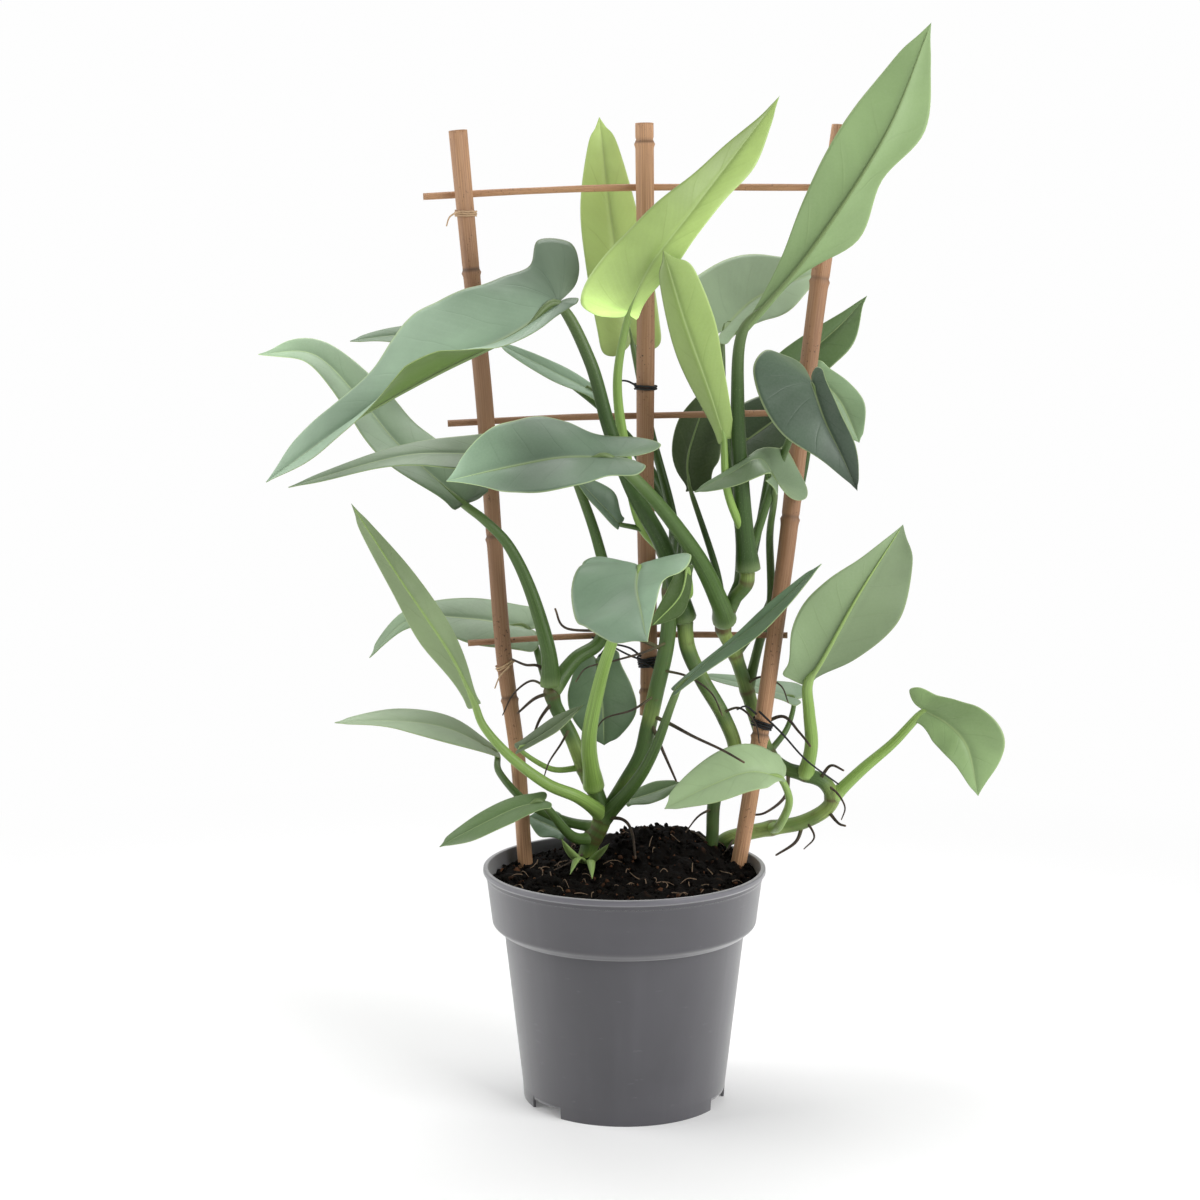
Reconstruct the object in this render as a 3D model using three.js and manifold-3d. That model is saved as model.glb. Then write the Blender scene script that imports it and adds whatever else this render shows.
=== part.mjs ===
// Philodendron hastatum in a nursery pot, trained on a fan of three bamboo canes.
// Millimetres, +Z up, the front of the plant faces -Y, and the origin lies on the
// floor under the centre of the pot.
import * as THREE from "three";
import { mergeVertices } from "three/addons/utils/BufferGeometryUtils.js";
import Module from "manifold-3d";

const wasm = await Module();
wasm.setup();

// Clearance between pieces that touch.
const GAP = 0.3;
// Corners nearer than this are one corner.
const MERGE = 1e-4;

// Pot: a thin turned wall with a deep collar, a raised floor and a foot skirt.
const POT = {
  rimRadius: 75,
  lipRadius: 75.4,
  lipDrop: 2,
  lipFoot: 2.6,
  height: 125.5,
  collarTopRadius: 73.8,
  collarFootRadius: 70.4,
  collarFoot: 95.5,
  stepRadius: 68,
  shoulderRadius: 64.2,
  shoulder: 92,
  skirtRadius: 54.5,
  footRadius: 54.1,
  wall: 1.5,
  floorUnder: 5.6,
  floorTop: 7.2,
  padRadius: 12,
  sides: 24,
};
// Drain notches through the foot skirt, by their angle from the front in degrees.
const NOTCH_ANGLES = [-50, 70, 190];
const NOTCH_WIDTH = 22.5;
const NOTCH_HEIGHT = 5;
const NOTCH_DEPTH = 6;

// Soil: level at the pot's wall, with a wide mound towards the back and small lumps.
const SOIL = {
  edgeTop: 117,
  mound: 20,
  moundX: 18,
  moundY: 37,
  moundWidth: 44,
  moundDepth: 29,
  lumps: 1.1,
  rings: 8,
};

// Bamboo rack: the canes fan out upwards, and the cross bars lie behind them.
const CANE_SIDES = 10;
const KNOT_RISE = 0.7;
const KNOT_LENGTH = 2.4;
const BAR_RADIUS = 1.7;
const BAR_SIDES = 7;
const BAR_STEPS = 6;

// Ties: rings of wire or twine round a cane, which stand off it by a bit more than their
// own thickness, as their rings have flat sides.
const TIE_RADIUS = 0.8;
const TIE_STANDOFF = 1.04;
const TIE_SIDES = 5;
const TIE_STEPS = 14;

// Stems, stalks and aerial roots. A stalk thins evenly up to the blade, then fades out
// under the rib.
const STEM_SIDES = 7;
const STALK_SIDES = 6;
const STALK_TO_BLADE = 0.85;
const STALK_END = 0.6;
const STALK_REACH = 0.12;
const STALK_DEPTHS = [0.8, 0.5];
const ROOT_SIDES = 4;
const ROOT_BASE = 1.1;
const ROOT_TIP = 0.8;

// Points up the middle of each cane, its radius at the foot and at the top, and its knots as
// the number of a point in that list.
const CANES = {
  cane_left: {
    points: [[-45, 27, 76], [-50, 29, 97], [-54, 29, 118], [-58, 29, 177], [-65, 29, 232], [-70, 29, 297],
      [-75, 29, 372], [-82, 29, 446], [-88, 29, 513]],
    radii: [3.9, 4.7],
    knots: [3.6, 5, 6.9],
  },
  cane_middle: {
    points: [[13, 33, 201], [13, 33, 242], [11, 33, 329], [11, 33, 425], [10, 33, 517]],
    radii: [4.7, 4.7],
    knots: [0.35, 2.2, 3.88],
  },
  cane_right: {
    points: [[47, 15, 76], [55, 18, 97], [62, 20, 122], [72, 22, 184], [76, 24, 210], [86, 27, 286],
      [92, 30, 340], [102, 33, 425], [114, 37, 516]],
    radii: [4.2, 5.2],
    knots: [3.2, 5.4, 7.1],
  },
};

// Cross bars from left to right, each lying against the backs of the canes.
const BARS = {
  bar_top: [[-107, 34.9, 479], [-51, 36.4, 482], [10, 39.5, 484], [116, 42.6, 484]],
  bar_middle: [[-95, 34.3, 359], [-35, 37, 362], [11, 39.6, 363], [99, 37.4, 365]],
  bar_low: [[-85, 33.9, 240], [-35, 36.8, 243], [13, 39.9, 244], [88, 31.2, 245]],
};

// Each tie's cane, its place as a point number of that cane, and its tilt in degrees.
const TIES = {
  tie_middle_upper: { cane: "cane_middle", at: 2.52, tilt: 4, material: "wire" },
  tie_middle_low: { cane: "cane_middle", at: 0.8, tilt: -8, material: "wire" },
  tie_right_low: { cane: "cane_right", at: 3.6, tilt: 12, material: "wire" },
  tie_left_low: { cane: "cane_left", at: 3.95, tilt: -20, material: "twine" },
  tie_left_upper: { cane: "cane_left", at: 7.35, tilt: 6, material: "twine" },
  tie_right_upper: { cane: "cane_right", at: 7.4, tilt: -6, material: "twine" },
};

// Stems: points along each from inside the soil, or from the stem it branches off, its
// radius at both ends, and the aerial roots that grow from it.
const STEMS = {
  stem_left: {
    points: [[-21, 23, 97], [-21, 23, 119], [-18, 22, 133], [-12, 20, 146], [-15, 18, 160], [-22, 17, 175],
      [-29, 16, 193], [-37, 15, 209], [-40, 14, 221]],
    radii: [5.2, 3.6],
    roots: [
      [[-39, 13, 218], [-45, 14, 230], [-53, 10, 232], [-61, 7, 236]],
      [[-40, 14, 216], [-48, 8, 214], [-57, 2, 207]],
      [[-38, 14, 212], [-45, 9, 203], [-49, 8, 193]],
      [[-12, 18, 147], [-1, 10, 148], [4, 6, 142], [6, 3, 128]],
    ],
  },
  stem_centre: {
    points: [[-10, 20, 148], [0, 22, 164], [9, 23, 180], [13, 22, 197], [17, 20, 216], [22, 19, 239],
      [24, 18, 260], [24, 17, 279], [20, 14, 298]],
    radii: [4.6, 4],
    roots: [
      [[14, 21, 203], [24, 12, 200], [36, -14, 198], [51, -26, 193], [62, -34, 188]],
      [[21, 18, 239], [8, 14, 245], [-8, 10, 250], [-31, 8, 252], [-37, 6, 263]],
      [[14, 20, 200], [20, 15, 186], [28, 13, 168]],
    ],
  },
  stem_middle_right: {
    points: [[42, 27, 95], [46, 30, 119], [48, 30, 133], [49, 30, 153], [54, 29, 170], [60, 29, 183],
      [53, 28, 202], [42, 27, 221], [34, 25, 239], [32, 22, 257]],
    radii: [3.2, 4.4],
    roots: [[[48, 31, 128], [38, 40, 134], [26, 46, 134]]],
  },
  stem_right: {
    points: [[44, 32, 97], [50, 37, 118], [54, 38, 129], [65, 40, 133], [81, 42, 136], [97, 42, 139],
      [110, 41, 146], [114, 39, 154], [109, 37, 163], [99, 38, 167], [88, 41, 170], [79, 42, 178],
      [73, 42, 194], [67, 40, 213], [60, 34, 234], [53, 25, 250], [57, 14, 265], [64, 9, 275], [65, 7, 285]],
    radii: [4.2, 3.6],
    roots: [
      [[107, 36, 165], [112, 28, 174], [119, 24, 172]],
      [[98, 42, 137], [94, 38, 129], [83, 36, 122]],
      [[112, 40, 146], [117, 33, 141], [121, 30, 140]],
      [[90, 40, 169], [88, 34, 156], [77, 28, 148], [68, 30, 146]],
      [[73, 41, 193], [86, 34, 200], [94, 20, 194], [100, 14, 187]],
    ],
  },
};

// Blades are a little thinner at the tip. Parts of the rib run from 0 at the stalk to 1 at
// the tip. Half widths are given at evenly spaced stations between the first and the last,
// folds and turns at the stalk, the middle and the tip.
const BLADE = 0.7;
const TIP_BLADE = 0.6;
const FIRST_STATION = 0.06;
const LAST_STATION = 0.88;
const MIDDLE_STATION = 0.4;
// Veins slant forward: they leave the rib this much nearer the stalk.
const VEIN_SLANT = 0.13;
// The lobe behind the stalk, as parts of its reach and of its width.
const LOBE_ROWS = [[-0.5, 0.07], [-0.85, 0.32], [-1, 0.65], [-0.6, 0.95]];
// Where a lobe narrows to its neck, as a part of its reach.
const NECK_PLACE = -0.15;
// The row just before the tip, its width as a part of the last half width.
const TIP_ROW = { leaves: 0.945, edge: 0.955, width: 0.35 };

// Leaves. The stalk leaves its stem at the point number "at", passes the points of
// "stalk" and ends under the rib, which runs from there to the tip. "turn" is how far the
// upper face turns from the front about the rib, at the base, the middle and the tip, and
// "fold" how far a half is lifted from flat, all in degrees. "lobe" is how far a half
// reaches back past the stalk, "lobeWidth" and "neck" how wide a lobe with a narrower
// neck is at both, and "widths" a half's widths from base to tip.
const LEAVES = [
  {
    name: "leaf_top_right", material: "green", stem: "stem_right", at: 17.8,
    stalk: [[61, 0, 321], [58, -8, 373]], radii: [5.4, 2.8],
    rib: [[60, -14, 408], [93, -25, 448], [131, -21, 507], [155, -4, 564]], turn: [184, 180, 176],
    left: { lobe: 3, fold: [8, 10, 8], widths: [2, 3, 17, 10, 17, 8] },
    right: { lobe: 3, fold: [12, 10, 8], widths: [3, 10, 18, 22, 20, 11] },
  },
  {
    name: "leaf_back_right", material: "silver", stem: "stem_right", at: 17.2,
    stalk: [[61, 32, 307], [54, 54, 360]], radii: [3, 1.8],
    rib: [[53, 62, 408], [69, 64, 424], [87, 62, 433], [105, 58, 440]], turn: [-30, -30, -30],
    left: { lobe: 12, fold: [6, 6, 6], widths: [35, 31, 21, 9] },
    right: { lobe: 6, fold: [6, 6, 6], widths: [8, 15, 18, 8] },
  },
  {
    name: "leaf_centre_lime", material: "lime", stem: "stem_centre", at: 7.8,
    stalk: [[8, 4, 310], [0, -4, 347], [-4, -16, 384]], radii: [3.6, 2],
    rib: [[2, -24, 419], [13, -30, 442], [35, -31, 471], [78, -12, 527]], turn: [0, 0, 0],
    left: { lobe: 8, fold: [10, 14, 10], widths: [26, 20, 17, 11, 7, 2] },
    right: { lobe: 2, fold: [12, 16, 12], widths: [6, 11, 10, 10, 12, 6] },
  },
  {
    name: "leaf_back_lime", material: "lime", stem: "stem_centre", at: 7.2,
    stalk: [[26, 44, 306], [14, 56, 354]], radii: [3, 1.8],
    rib: [[3, 58, 406], [-7, 60, 465], [-14, 56, 522]], turn: [0, 0, 0],
    left: { lobe: 10, fold: [12, 12, 12], widths: [18, 18, 16, 8] },
    right: { lobe: 10, fold: [12, 12, 12], widths: [17, 17, 14, 8] },
  },
  {
    name: "leaf_rolled_young", material: "lime", stem: "leaf_top_right", at: 0.5,
    stalk: [[53, -8, 327]], radii: [2.4, 1.8],
    rib: [[51, -6, 355], [43, -14, 379], [30, -28, 414], [19, -40, 449]], turn: [10, 10, 10],
    left: { lobe: 3, fold: [25, 25, 30], widths: [5, 10, 12, 8] },
    right: { lobe: 3, fold: [15, 15, 20], widths: [7, 11, 15, 12] },
  },
  {
    name: "leaf_left_big", material: "silver", stem: "stem_middle_right", at: 8.9,
    stalk: [[21, 2, 294], [4, -12, 327], [-8, -22, 359], [-18, -28, 394]], radii: [5.2, 3],
    rib: [[-34, -30, 423], [-57, -44, 407], [-95, -54, 388], [-137, -60, 364], [-180, -50, 334]],
    turn: [30, 55, 50],
    left: {
      lobe: 9, lobeWidth: 9, neck: 8, fold: [10, 58, 5],
      widths: [8, 11, 16, 26, 33, 36, 36, 29, 20, 14, 8],
    },
    right: {
      lobe: 30, lobeWidth: 36, neck: 26, fold: [10, 10, 25],
      widths: [31, 34, 38, 41, 42, 34, 24, 18, 14, 12, 9],
    },
  },
  {
    name: "leaf_far_left", material: "silver", stem: "stem_left", at: 7.9,
    stalk: [[-41, 11, 240], [-50, 12, 271], [-61, 9, 295], [-73, 4, 309]], radii: [4.6, 2.2],
    rib: [[-85, 4, 319], [-121, 28, 348], [-142, 46, 370], [-170, 62, 395], [-202, 72, 395]],
    turn: [45, 45, 45],
    left: { lobe: 2, fold: [10, 10, 10], widths: [9, 17, 16, 13, 10, 6] },
    right: { lobe: 3, fold: [6, 10, 10], widths: [17, 19, 17, 15, 12, 8] },
  },
  {
    name: "leaf_left_mid", material: "silver", stem: "stem_left", at: 7.7,
    stalk: [[-27, 22, 233], [-13, 28, 243], [-9, 27, 268], [-15, 20, 298], [-25, 12, 328]], radii: [4.2, 2.2],
    rib: [[-33, 10, 349], [-76, 4, 345], [-117, -6, 344], [-175, -8, 328]], turn: [65, 61, 55],
    left: { lobe: 10, fold: [10, 10, 10], widths: [20, 22, 20, 14, 9, 4] },
    right: { lobe: 12, fold: [5, 5, 5], widths: [19, 17, 13, 10, 7, 4] },
  },
  {
    name: "leaf_centre_silver", material: "silver", stem: "stem_right", at: 15.3,
    stalk: [[50, 8, 266], [38, -5, 291], [16, -24, 322]], radii: [5.4, 3],
    rib: [[-7, -40, 346], [-32, -46, 346], [-58, -42, 341], [-91, -30, 333]], turn: [60, 52, 40],
    left: { lobe: 15, fold: [8, 8, 8], widths: [19, 27, 29, 21, 11, 4] },
    right: { lobe: 28, fold: [8, 8, 8], widths: [16, 25, 30, 29, 26, 13] },
  },
  {
    name: "leaf_heart_front", material: "silver", stem: "stem_left", at: 4.3,
    stalk: [[-19, -4, 194], [-14, -16, 223], [-8, -30, 246], [0, -40, 269]], radii: [4.8, 2.4],
    rib: [[7, -44, 291], [6, -66, 283], [8, -88, 275], [11, -108, 262]], turn: [11, 11, 11],
    left: { lobe: 5, fold: [10, 10, 10], widths: [27, 19, 11, 3] },
    right: { lobe: 6, fold: [6, 6, 6], widths: [29, 33, 31, 18] },
  },
  {
    name: "leaf_behind_heart", material: "green", stem: "stem_centre", at: 6.5,
    stalk: [[34, -4, 271]], radii: [1.8, 1.2],
    rib: [[32, -16, 287], [28, -22, 273], [14, -25, 258]], turn: [160, 160, 160],
    left: { lobe: 3, fold: [20, 20, 20], widths: [5, 7, 6, 3] },
    right: { lobe: 3, fold: [20, 20, 20], widths: [5, 7, 9, 4] },
  },
  {
    name: "leaf_right_dark", material: "silver", stem: "stem_right", at: 15.8,
    stalk: [[68, 16, 296], [80, 10, 335], [91, 1, 366]], radii: [2.8, 1.8],
    rib: [[97, -4, 382], [103, -14, 363], [112, -18, 344], [120, -14, 327]], turn: [-10, -6, 0],
    left: { lobe: 7, fold: [35, 40, 30], widths: [8, 10, 10, 4] },
    right: { lobe: 22, fold: [12, 12, 12], widths: [31, 25, 12, 3] },
  },
  {
    name: "leaf_right_olive", material: "green", stem: "stem_right", at: 14,
    stalk: [[80, 50, 262], [98, 56, 332]], radii: [2.4, 1.5],
    rib: [[104, 56, 384], [117, 54, 370], [127, 48, 348]], turn: [0, 0, 0],
    left: { lobe: 6, fold: [10, 10, 10], widths: [8, 10, 11, 5] },
    right: { lobe: 10, fold: [10, 10, 10], widths: [14, 15, 12, 5] },
  },
  {
    name: "leaf_right_upper", material: "green", stem: "stem_right", at: 15,
    stalk: [[69, 48, 283], [81, 63, 343]], radii: [2.6, 1.5],
    rib: [[91, 66, 387], [104, 66, 399], [119, 62, 413], [131, 58, 427]], turn: [-20, -20, -20],
    left: { lobe: 8, fold: [20, 20, 20], widths: [11, 9, 6, 2] },
    right: { lobe: 8, fold: [8, 8, 8], widths: [14, 15, 13, 3] },
  },
  {
    name: "leaf_small_pale", material: "silver", stem: "stem_right", at: 13,
    stalk: [[73, 42, 238], [79, 37, 262], [78, 34, 298], [79, 14, 320]], radii: [2.8, 1.7],
    rib: [[79, 0, 331], [70, -7, 343], [55, -12, 336], [36, -12, 326]], turn: [60, 56, 50],
    left: { lobe: 3, fold: [8, 8, 8], widths: [10, 17, 13, 5] },
    right: { lobe: 24, fold: [10, 10, 10], widths: [21, 5, 3, 2] },
  },
  {
    name: "leaf_right_big", material: "green", stem: "stem_right", at: 9,
    stalk: [[101, 26, 186], [99, 19, 205]], radii: [4.2, 2.8],
    rib: [[98, 16, 221], [107, 10, 238], [123, 4, 270], [147, 12, 307]], turn: [185, 183, 180],
    left: { lobe: 2, fold: [10, 10, 10], widths: [3, 15, 24, 27, 24, 15] },
    right: { lobe: 3, fold: [10, 10, 10], widths: [15, 22, 23, 18, 10, 4] },
  },
  {
    name: "leaf_right_low", material: "green", stem: "stem_right", at: 7,
    stalk: [[130, 38, 170], [147, 38, 185]], radii: [3.6, 2.2],
    rib: [[163, 36, 203], [175, 28, 197], [185, 22, 185], [191, 20, 159]], turn: [0, 4, 10],
    left: { lobe: 12, fold: [10, 8, 8], widths: [11, 14, 19, 21, 15, 6] },
    right: { lobe: 3, fold: [8, 8, 8], widths: [8, 12, 13, 12, 8, 4] },
  },
  {
    name: "leaf_right_narrow", material: "silver", stem: "stem_left", at: 3,
    stalk: [[5, 6, 168], [16, -2, 189]], radii: [4.2, 2],
    rib: [[27, -10, 222], [47, -14, 241], [73, -16, 262], [102, -14, 289]], turn: [-62, -62, -62],
    left: { lobe: 2, fold: [15, 15, 15], widths: [3, 2, 5, 3] },
    right: { lobe: 2, fold: [15, 15, 15], widths: [5, 14, 17, 5] },
  },
  {
    name: "leaf_low_pale", material: "silver", stem: "stem_right", at: 4,
    stalk: [[84, 26, 141], [88, 6, 159]], radii: [2.8, 1.8],
    rib: [[83, -4, 174], [66, -14, 179], [45, -20, 173], [21, -22, 161]], turn: [60, 56, 50],
    left: { lobe: 1, fold: [10, 10, 10], widths: [4, 17, 16, 6] },
    right: { lobe: 5, fold: [10, 10, 10], widths: [15, 18, 16, 8] },
  },
  {
    name: "leaf_left_upright", material: "silver", stem: "stem_left", at: 3.2,
    stalk: [[-25, 2, 162], [-41, -3, 170], [-60, -6, 185], [-74, -6, 201]], radii: [4, 2],
    rib: [[-79, -4, 214], [-91, -10, 241], [-117, -12, 281], [-143, -2, 319]], turn: [180, 180, 180],
    left: { lobe: 2, fold: [25, 25, 25], widths: [3, 8, 8, 3] },
    right: { lobe: 3, fold: [25, 25, 25], widths: [6, 12, 9, 5] },
  },
  {
    name: "leaf_left_flat", material: "green", stem: "stem_left", at: 2.6,
    stalk: [[-33, 24, 144], [-53, 16, 156], [-68, 27, 170]], radii: [3, 1.7],
    rib: [[-70, 42, 178], [-95, 36, 192], [-122, 28, 198], [-156, 18, 199]], turn: [75, 75, 75],
    left: { lobe: 1, fold: [8, 8, 8], widths: [8, 21, 17, 6] },
    right: { lobe: 1, fold: [8, 8, 8], widths: [6, 11, 12, 6] },
  },
  {
    name: "leaf_left_behind", material: "silver", stem: "stem_left", at: 7.4,
    stalk: [[-44, 36, 222]], radii: [2.4, 1.6],
    rib: [[-53, 56, 245], [-85, 58, 250], [-118, 54, 250], [-140, 46, 230]], turn: [65, 65, 65],
    left: { lobe: 8, fold: [-10, -10, -10], widths: [18, 20, 9, 2] },
    right: { lobe: 8, fold: [8, 8, 8], widths: [17, 18, 12, 6] },
  },
  {
    name: "leaf_low_dark", material: "green", stem: "stem_left", at: 4.6,
    stalk: [[-18, 32, 193]], radii: [2.2, 1.5],
    rib: [[-15, 27, 231], [-12, 24, 208], [-11, 28, 185]], turn: [0, 0, 0],
    left: { lobe: 6, fold: [4, 4, 4], widths: [13, 17, 18, 9] },
    right: { lobe: 6, fold: [4, 4, 4], widths: [13, 18, 17, 9] },
  },
  {
    name: "leaf_small_folded", material: "green", stem: "stem_left", at: 5,
    stalk: [[-39, 12, 175]], radii: [1.8, 1.2],
    rib: [[-56, 2, 188], [-40, -4, 199], [-22, -6, 213]], turn: [-55, -55, -55],
    left: { lobe: 2, fold: [20, 20, 20], widths: [4, 5, 5, 2] },
    right: { lobe: 2, fold: [20, 20, 20], widths: [4, 7, 7, 3] },
  },
  {
    name: "leaf_low_left", material: "green", stem: "stem_left", at: 2.1,
    stalk: [[-29, 11, 139]], radii: [3.4, 1.9],
    rib: [[-44, 0, 160], [-58, -4, 157], [-76, -8, 149], [-98, -8, 137]], turn: [55, 55, 55],
    left: { lobe: 4, fold: [14, 14, 14], widths: [8, 13, 12, 4] },
    right: { lobe: 4, fold: [10, 10, 10], widths: [6, 8, 7, 4] },
  },
  {
    name: "leaf_soil_dark", material: "green", stem: "stem_left", at: 2.3,
    stalk: [[-27, 34, 133]], radii: [1.7, 1.2],
    rib: [[-34, 40, 134], [-42, 44, 137], [-53, 48, 141]], turn: [40, 40, 40],
    left: { lobe: 3, fold: [10, 10, 10], widths: [6, 9, 8, 4] },
    right: { lobe: 3, fold: [10, 10, 10], widths: [6, 9, 8, 4] },
  },
  {
    name: "leaf_soil_green", material: "green", stem: "stem_left", at: 3.4,
    stalk: [[-6, 30, 150]], radii: [1.7, 1.2],
    rib: [[2, 35, 153], [14, 38, 156], [31, 40, 162]], turn: [-50, -50, -50],
    left: { lobe: 2, fold: [10, 10, 10], widths: [5, 6, 6, 3] },
    right: { lobe: 2, fold: [10, 10, 10], widths: [5, 8, 7, 3] },
  },
  {
    name: "leaf_back_narrow", material: "silver", stem: "stem_centre", at: 6.6,
    stalk: [[28, 48, 295], [11, 62, 332]], radii: [2.4, 1.4],
    rib: [[-16, 64, 374], [-36, 68, 384], [-70, 70, 401]], turn: [40, 40, 40],
    left: { lobe: 4, fold: [10, 10, 10], widths: [5, 7, 6, 3] },
    right: { lobe: 4, fold: [10, 10, 10], widths: [4, 6, 5, 3] },
  },
  {
    name: "leaf_back_left", material: "silver", stem: "stem_centre", at: 6.2,
    stalk: [[34, 56, 283], [8, 84, 342], [-42, 92, 386]], radii: [2.4, 1.4],
    rib: [[-81, 88, 405], [-126, 90, 405], [-153, 86, 402]], turn: [60, 60, 60],
    left: { lobe: 6, fold: [10, 10, 10], widths: [12, 14, 11, 5] },
    right: { lobe: 6, fold: [10, 10, 10], widths: [8, 10, 8, 4] },
  },
  {
    name: "leaf_back_centre", material: "green", stem: "stem_right", at: 15.1,
    stalk: [[50, 47, 278]], radii: [2.4, 1.5],
    rib: [[36, 56, 322], [35, 60, 341], [47, 56, 379]], turn: [170, 170, 170],
    left: { lobe: 2, fold: [10, 10, 10], widths: [12, 17, 14, 6] },
    right: { lobe: 1, fold: [10, 10, 10], widths: [3, 10, 11, 5] },
  },
  {
    name: "leaf_back_dark", material: "green", stem: "stem_right", at: 15,
    stalk: [[62, 56, 272], [63, 65, 315]], radii: [2.4, 1.5],
    rib: [[64, 66, 346], [82, 67, 359], [102, 64, 375]], turn: [-35, -35, -35],
    left: { lobe: 8, fold: [8, 8, 8], widths: [16, 19, 15, 6] },
    right: { lobe: 8, fold: [8, 8, 8], widths: [15, 18, 15, 6] },
  },
  {
    name: "leaf_under_silver", material: "green", stem: "stem_centre", at: 7.7,
    stalk: [[11, 5, 304]], radii: [1.9, 1.3],
    rib: [[-3, 4, 308], [-11, 0, 317], [-27, -2, 334]], turn: [40, 40, 40],
    left: { lobe: 1, fold: [8, 8, 8], widths: [4, 4, 4, 2] },
    right: { lobe: 1, fold: [8, 8, 8], widths: [5, 10, 9, 4] },
  },
  {
    name: "leaf_behind_cane", material: "silver", stem: "stem_right", at: 11,
    stalk: [[90, 54, 190]], radii: [1.9, 1.3],
    rib: [[94, 58, 206], [70, 63, 212], [43, 62, 218]], turn: [75, 75, 75],
    left: { lobe: 5, fold: [8, 8, 8], widths: [12, 13, 10, 4] },
    right: { lobe: 6, fold: [8, 8, 8], widths: [14, 12, 8, 4] },
  },
];

const rad = THREE.MathUtils.degToRad;
const vec = (p) => new THREE.Vector3(p[0], p[1], p[2]);
const curveOf = (points) => new THREE.CatmullRomCurve3(points.map(vec), false, "catmullrom", 0.5);
const between = (from, to) => (t) => from + (to - from) * t;
const evenly = (steps) => Array.from({ length: steps + 1 }, (_, i) => i / steps);

// A closed geometry as a solid, with its shared vertices merged.
function solidOf(geometry) {
  const plain = geometry.clone();
  plain.deleteAttribute("normal");
  plain.deleteAttribute("uv");
  const merged = mergeVertices(plain, MERGE);
  const vertProperties = merged.getAttribute("position").array;
  return new wasm.Manifold(new wasm.Mesh({ numProp: 3, vertProperties, triVerts: merged.index.array }));
}

// A solid from triangles given by their corners. Triangles without area are left out.
function solidFrom(triangles) {
  const same = (a, b) => a.distanceTo(b) < MERGE;
  const real = triangles.filter(([a, b, c]) => !same(a, b) && !same(b, c) && !same(c, a));
  const corners = real.flat().flatMap((corner) => corner.toArray());
  const geometry = new THREE.BufferGeometry();
  geometry.setAttribute("position", new THREE.Float32BufferAttribute(corners, 3));
  return solidOf(geometry);
}

// A round tube along a curve, closed at both ends, with a ring at each of the stops from 0
// to 1. The rings keep their roll from one to the next.
function tube(curve, radiusAt, sides, stops) {
  let normal = new THREE.Vector3(1, 0, 0);
  if (Math.abs(curve.getTangentAt(0).x) > 0.8) normal = new THREE.Vector3(0, 0, 1);
  const rings = stops.map((t) => {
    const along = curve.getTangentAt(t);
    const centre = curve.getPointAt(t);
    normal = normal.clone().addScaledVector(along, -normal.dot(along)).normalize();
    const across = along.clone().cross(normal);
    const ring = Array.from({ length: sides }, (_, k) => {
      const angle = (2 * Math.PI * k) / sides;
      const out = normal.clone().multiplyScalar(Math.cos(angle)).addScaledVector(across, Math.sin(angle));
      return centre.clone().addScaledVector(out, radiusAt(t));
    });
    return { centre, ring };
  });
  const triangles = [];
  const last = rings.length - 1;
  for (let k = 0; k < sides; k++) {
    const next = (k + 1) % sides;
    for (let i = 0; i < last; i++) {
      const low = rings[i].ring;
      const high = rings[i + 1].ring;
      triangles.push([low[k], low[next], high[next]], [low[k], high[next], high[k]]);
    }
    triangles.push([rings[0].centre, rings[0].ring[next], rings[0].ring[k]]);
    triangles.push([rings[last].centre, rings[last].ring[k], rings[last].ring[next]]);
  }
  return solidFrom(triangles);
}

// Of the bodies that a cut leaves, the largest.
function largest(solid) {
  return solid.decompose().reduce((best, body) => (body.volume() > best.volume() ? body : best));
}

const finish = (color, roughness) => new THREE.MeshStandardMaterial({ color, roughness, metalness: 0 });
const MATERIALS = {
  plastic: finish("#63636a", 0.45),
  peat: finish("#1d1712", 0.95),
  bamboo: finish("#a9855f", 0.55),
  wire: finish("#17161a", 0.5),
  twine: finish("#c2a486", 0.7),
  stem: finish("#5c7a3c", 0.5),
  silver: finish("#93a98f", 0.42),
  lime: finish("#a3b870", 0.42),
  green: finish("#6b8256", 0.45),
};

const plant = new THREE.Group();

function addPiece(name, solid, material) {
  const { vertProperties, triVerts } = solid.getMesh();
  const geometry = new THREE.BufferGeometry();
  geometry.setAttribute("position", new THREE.BufferAttribute(vertProperties, 3));
  geometry.setIndex(new THREE.BufferAttribute(triVerts, 1));
  geometry.computeVertexNormals();
  const mesh = new THREE.Mesh(geometry, MATERIALS[material]);
  mesh.name = name;
  plant.add(mesh);
}

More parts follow.
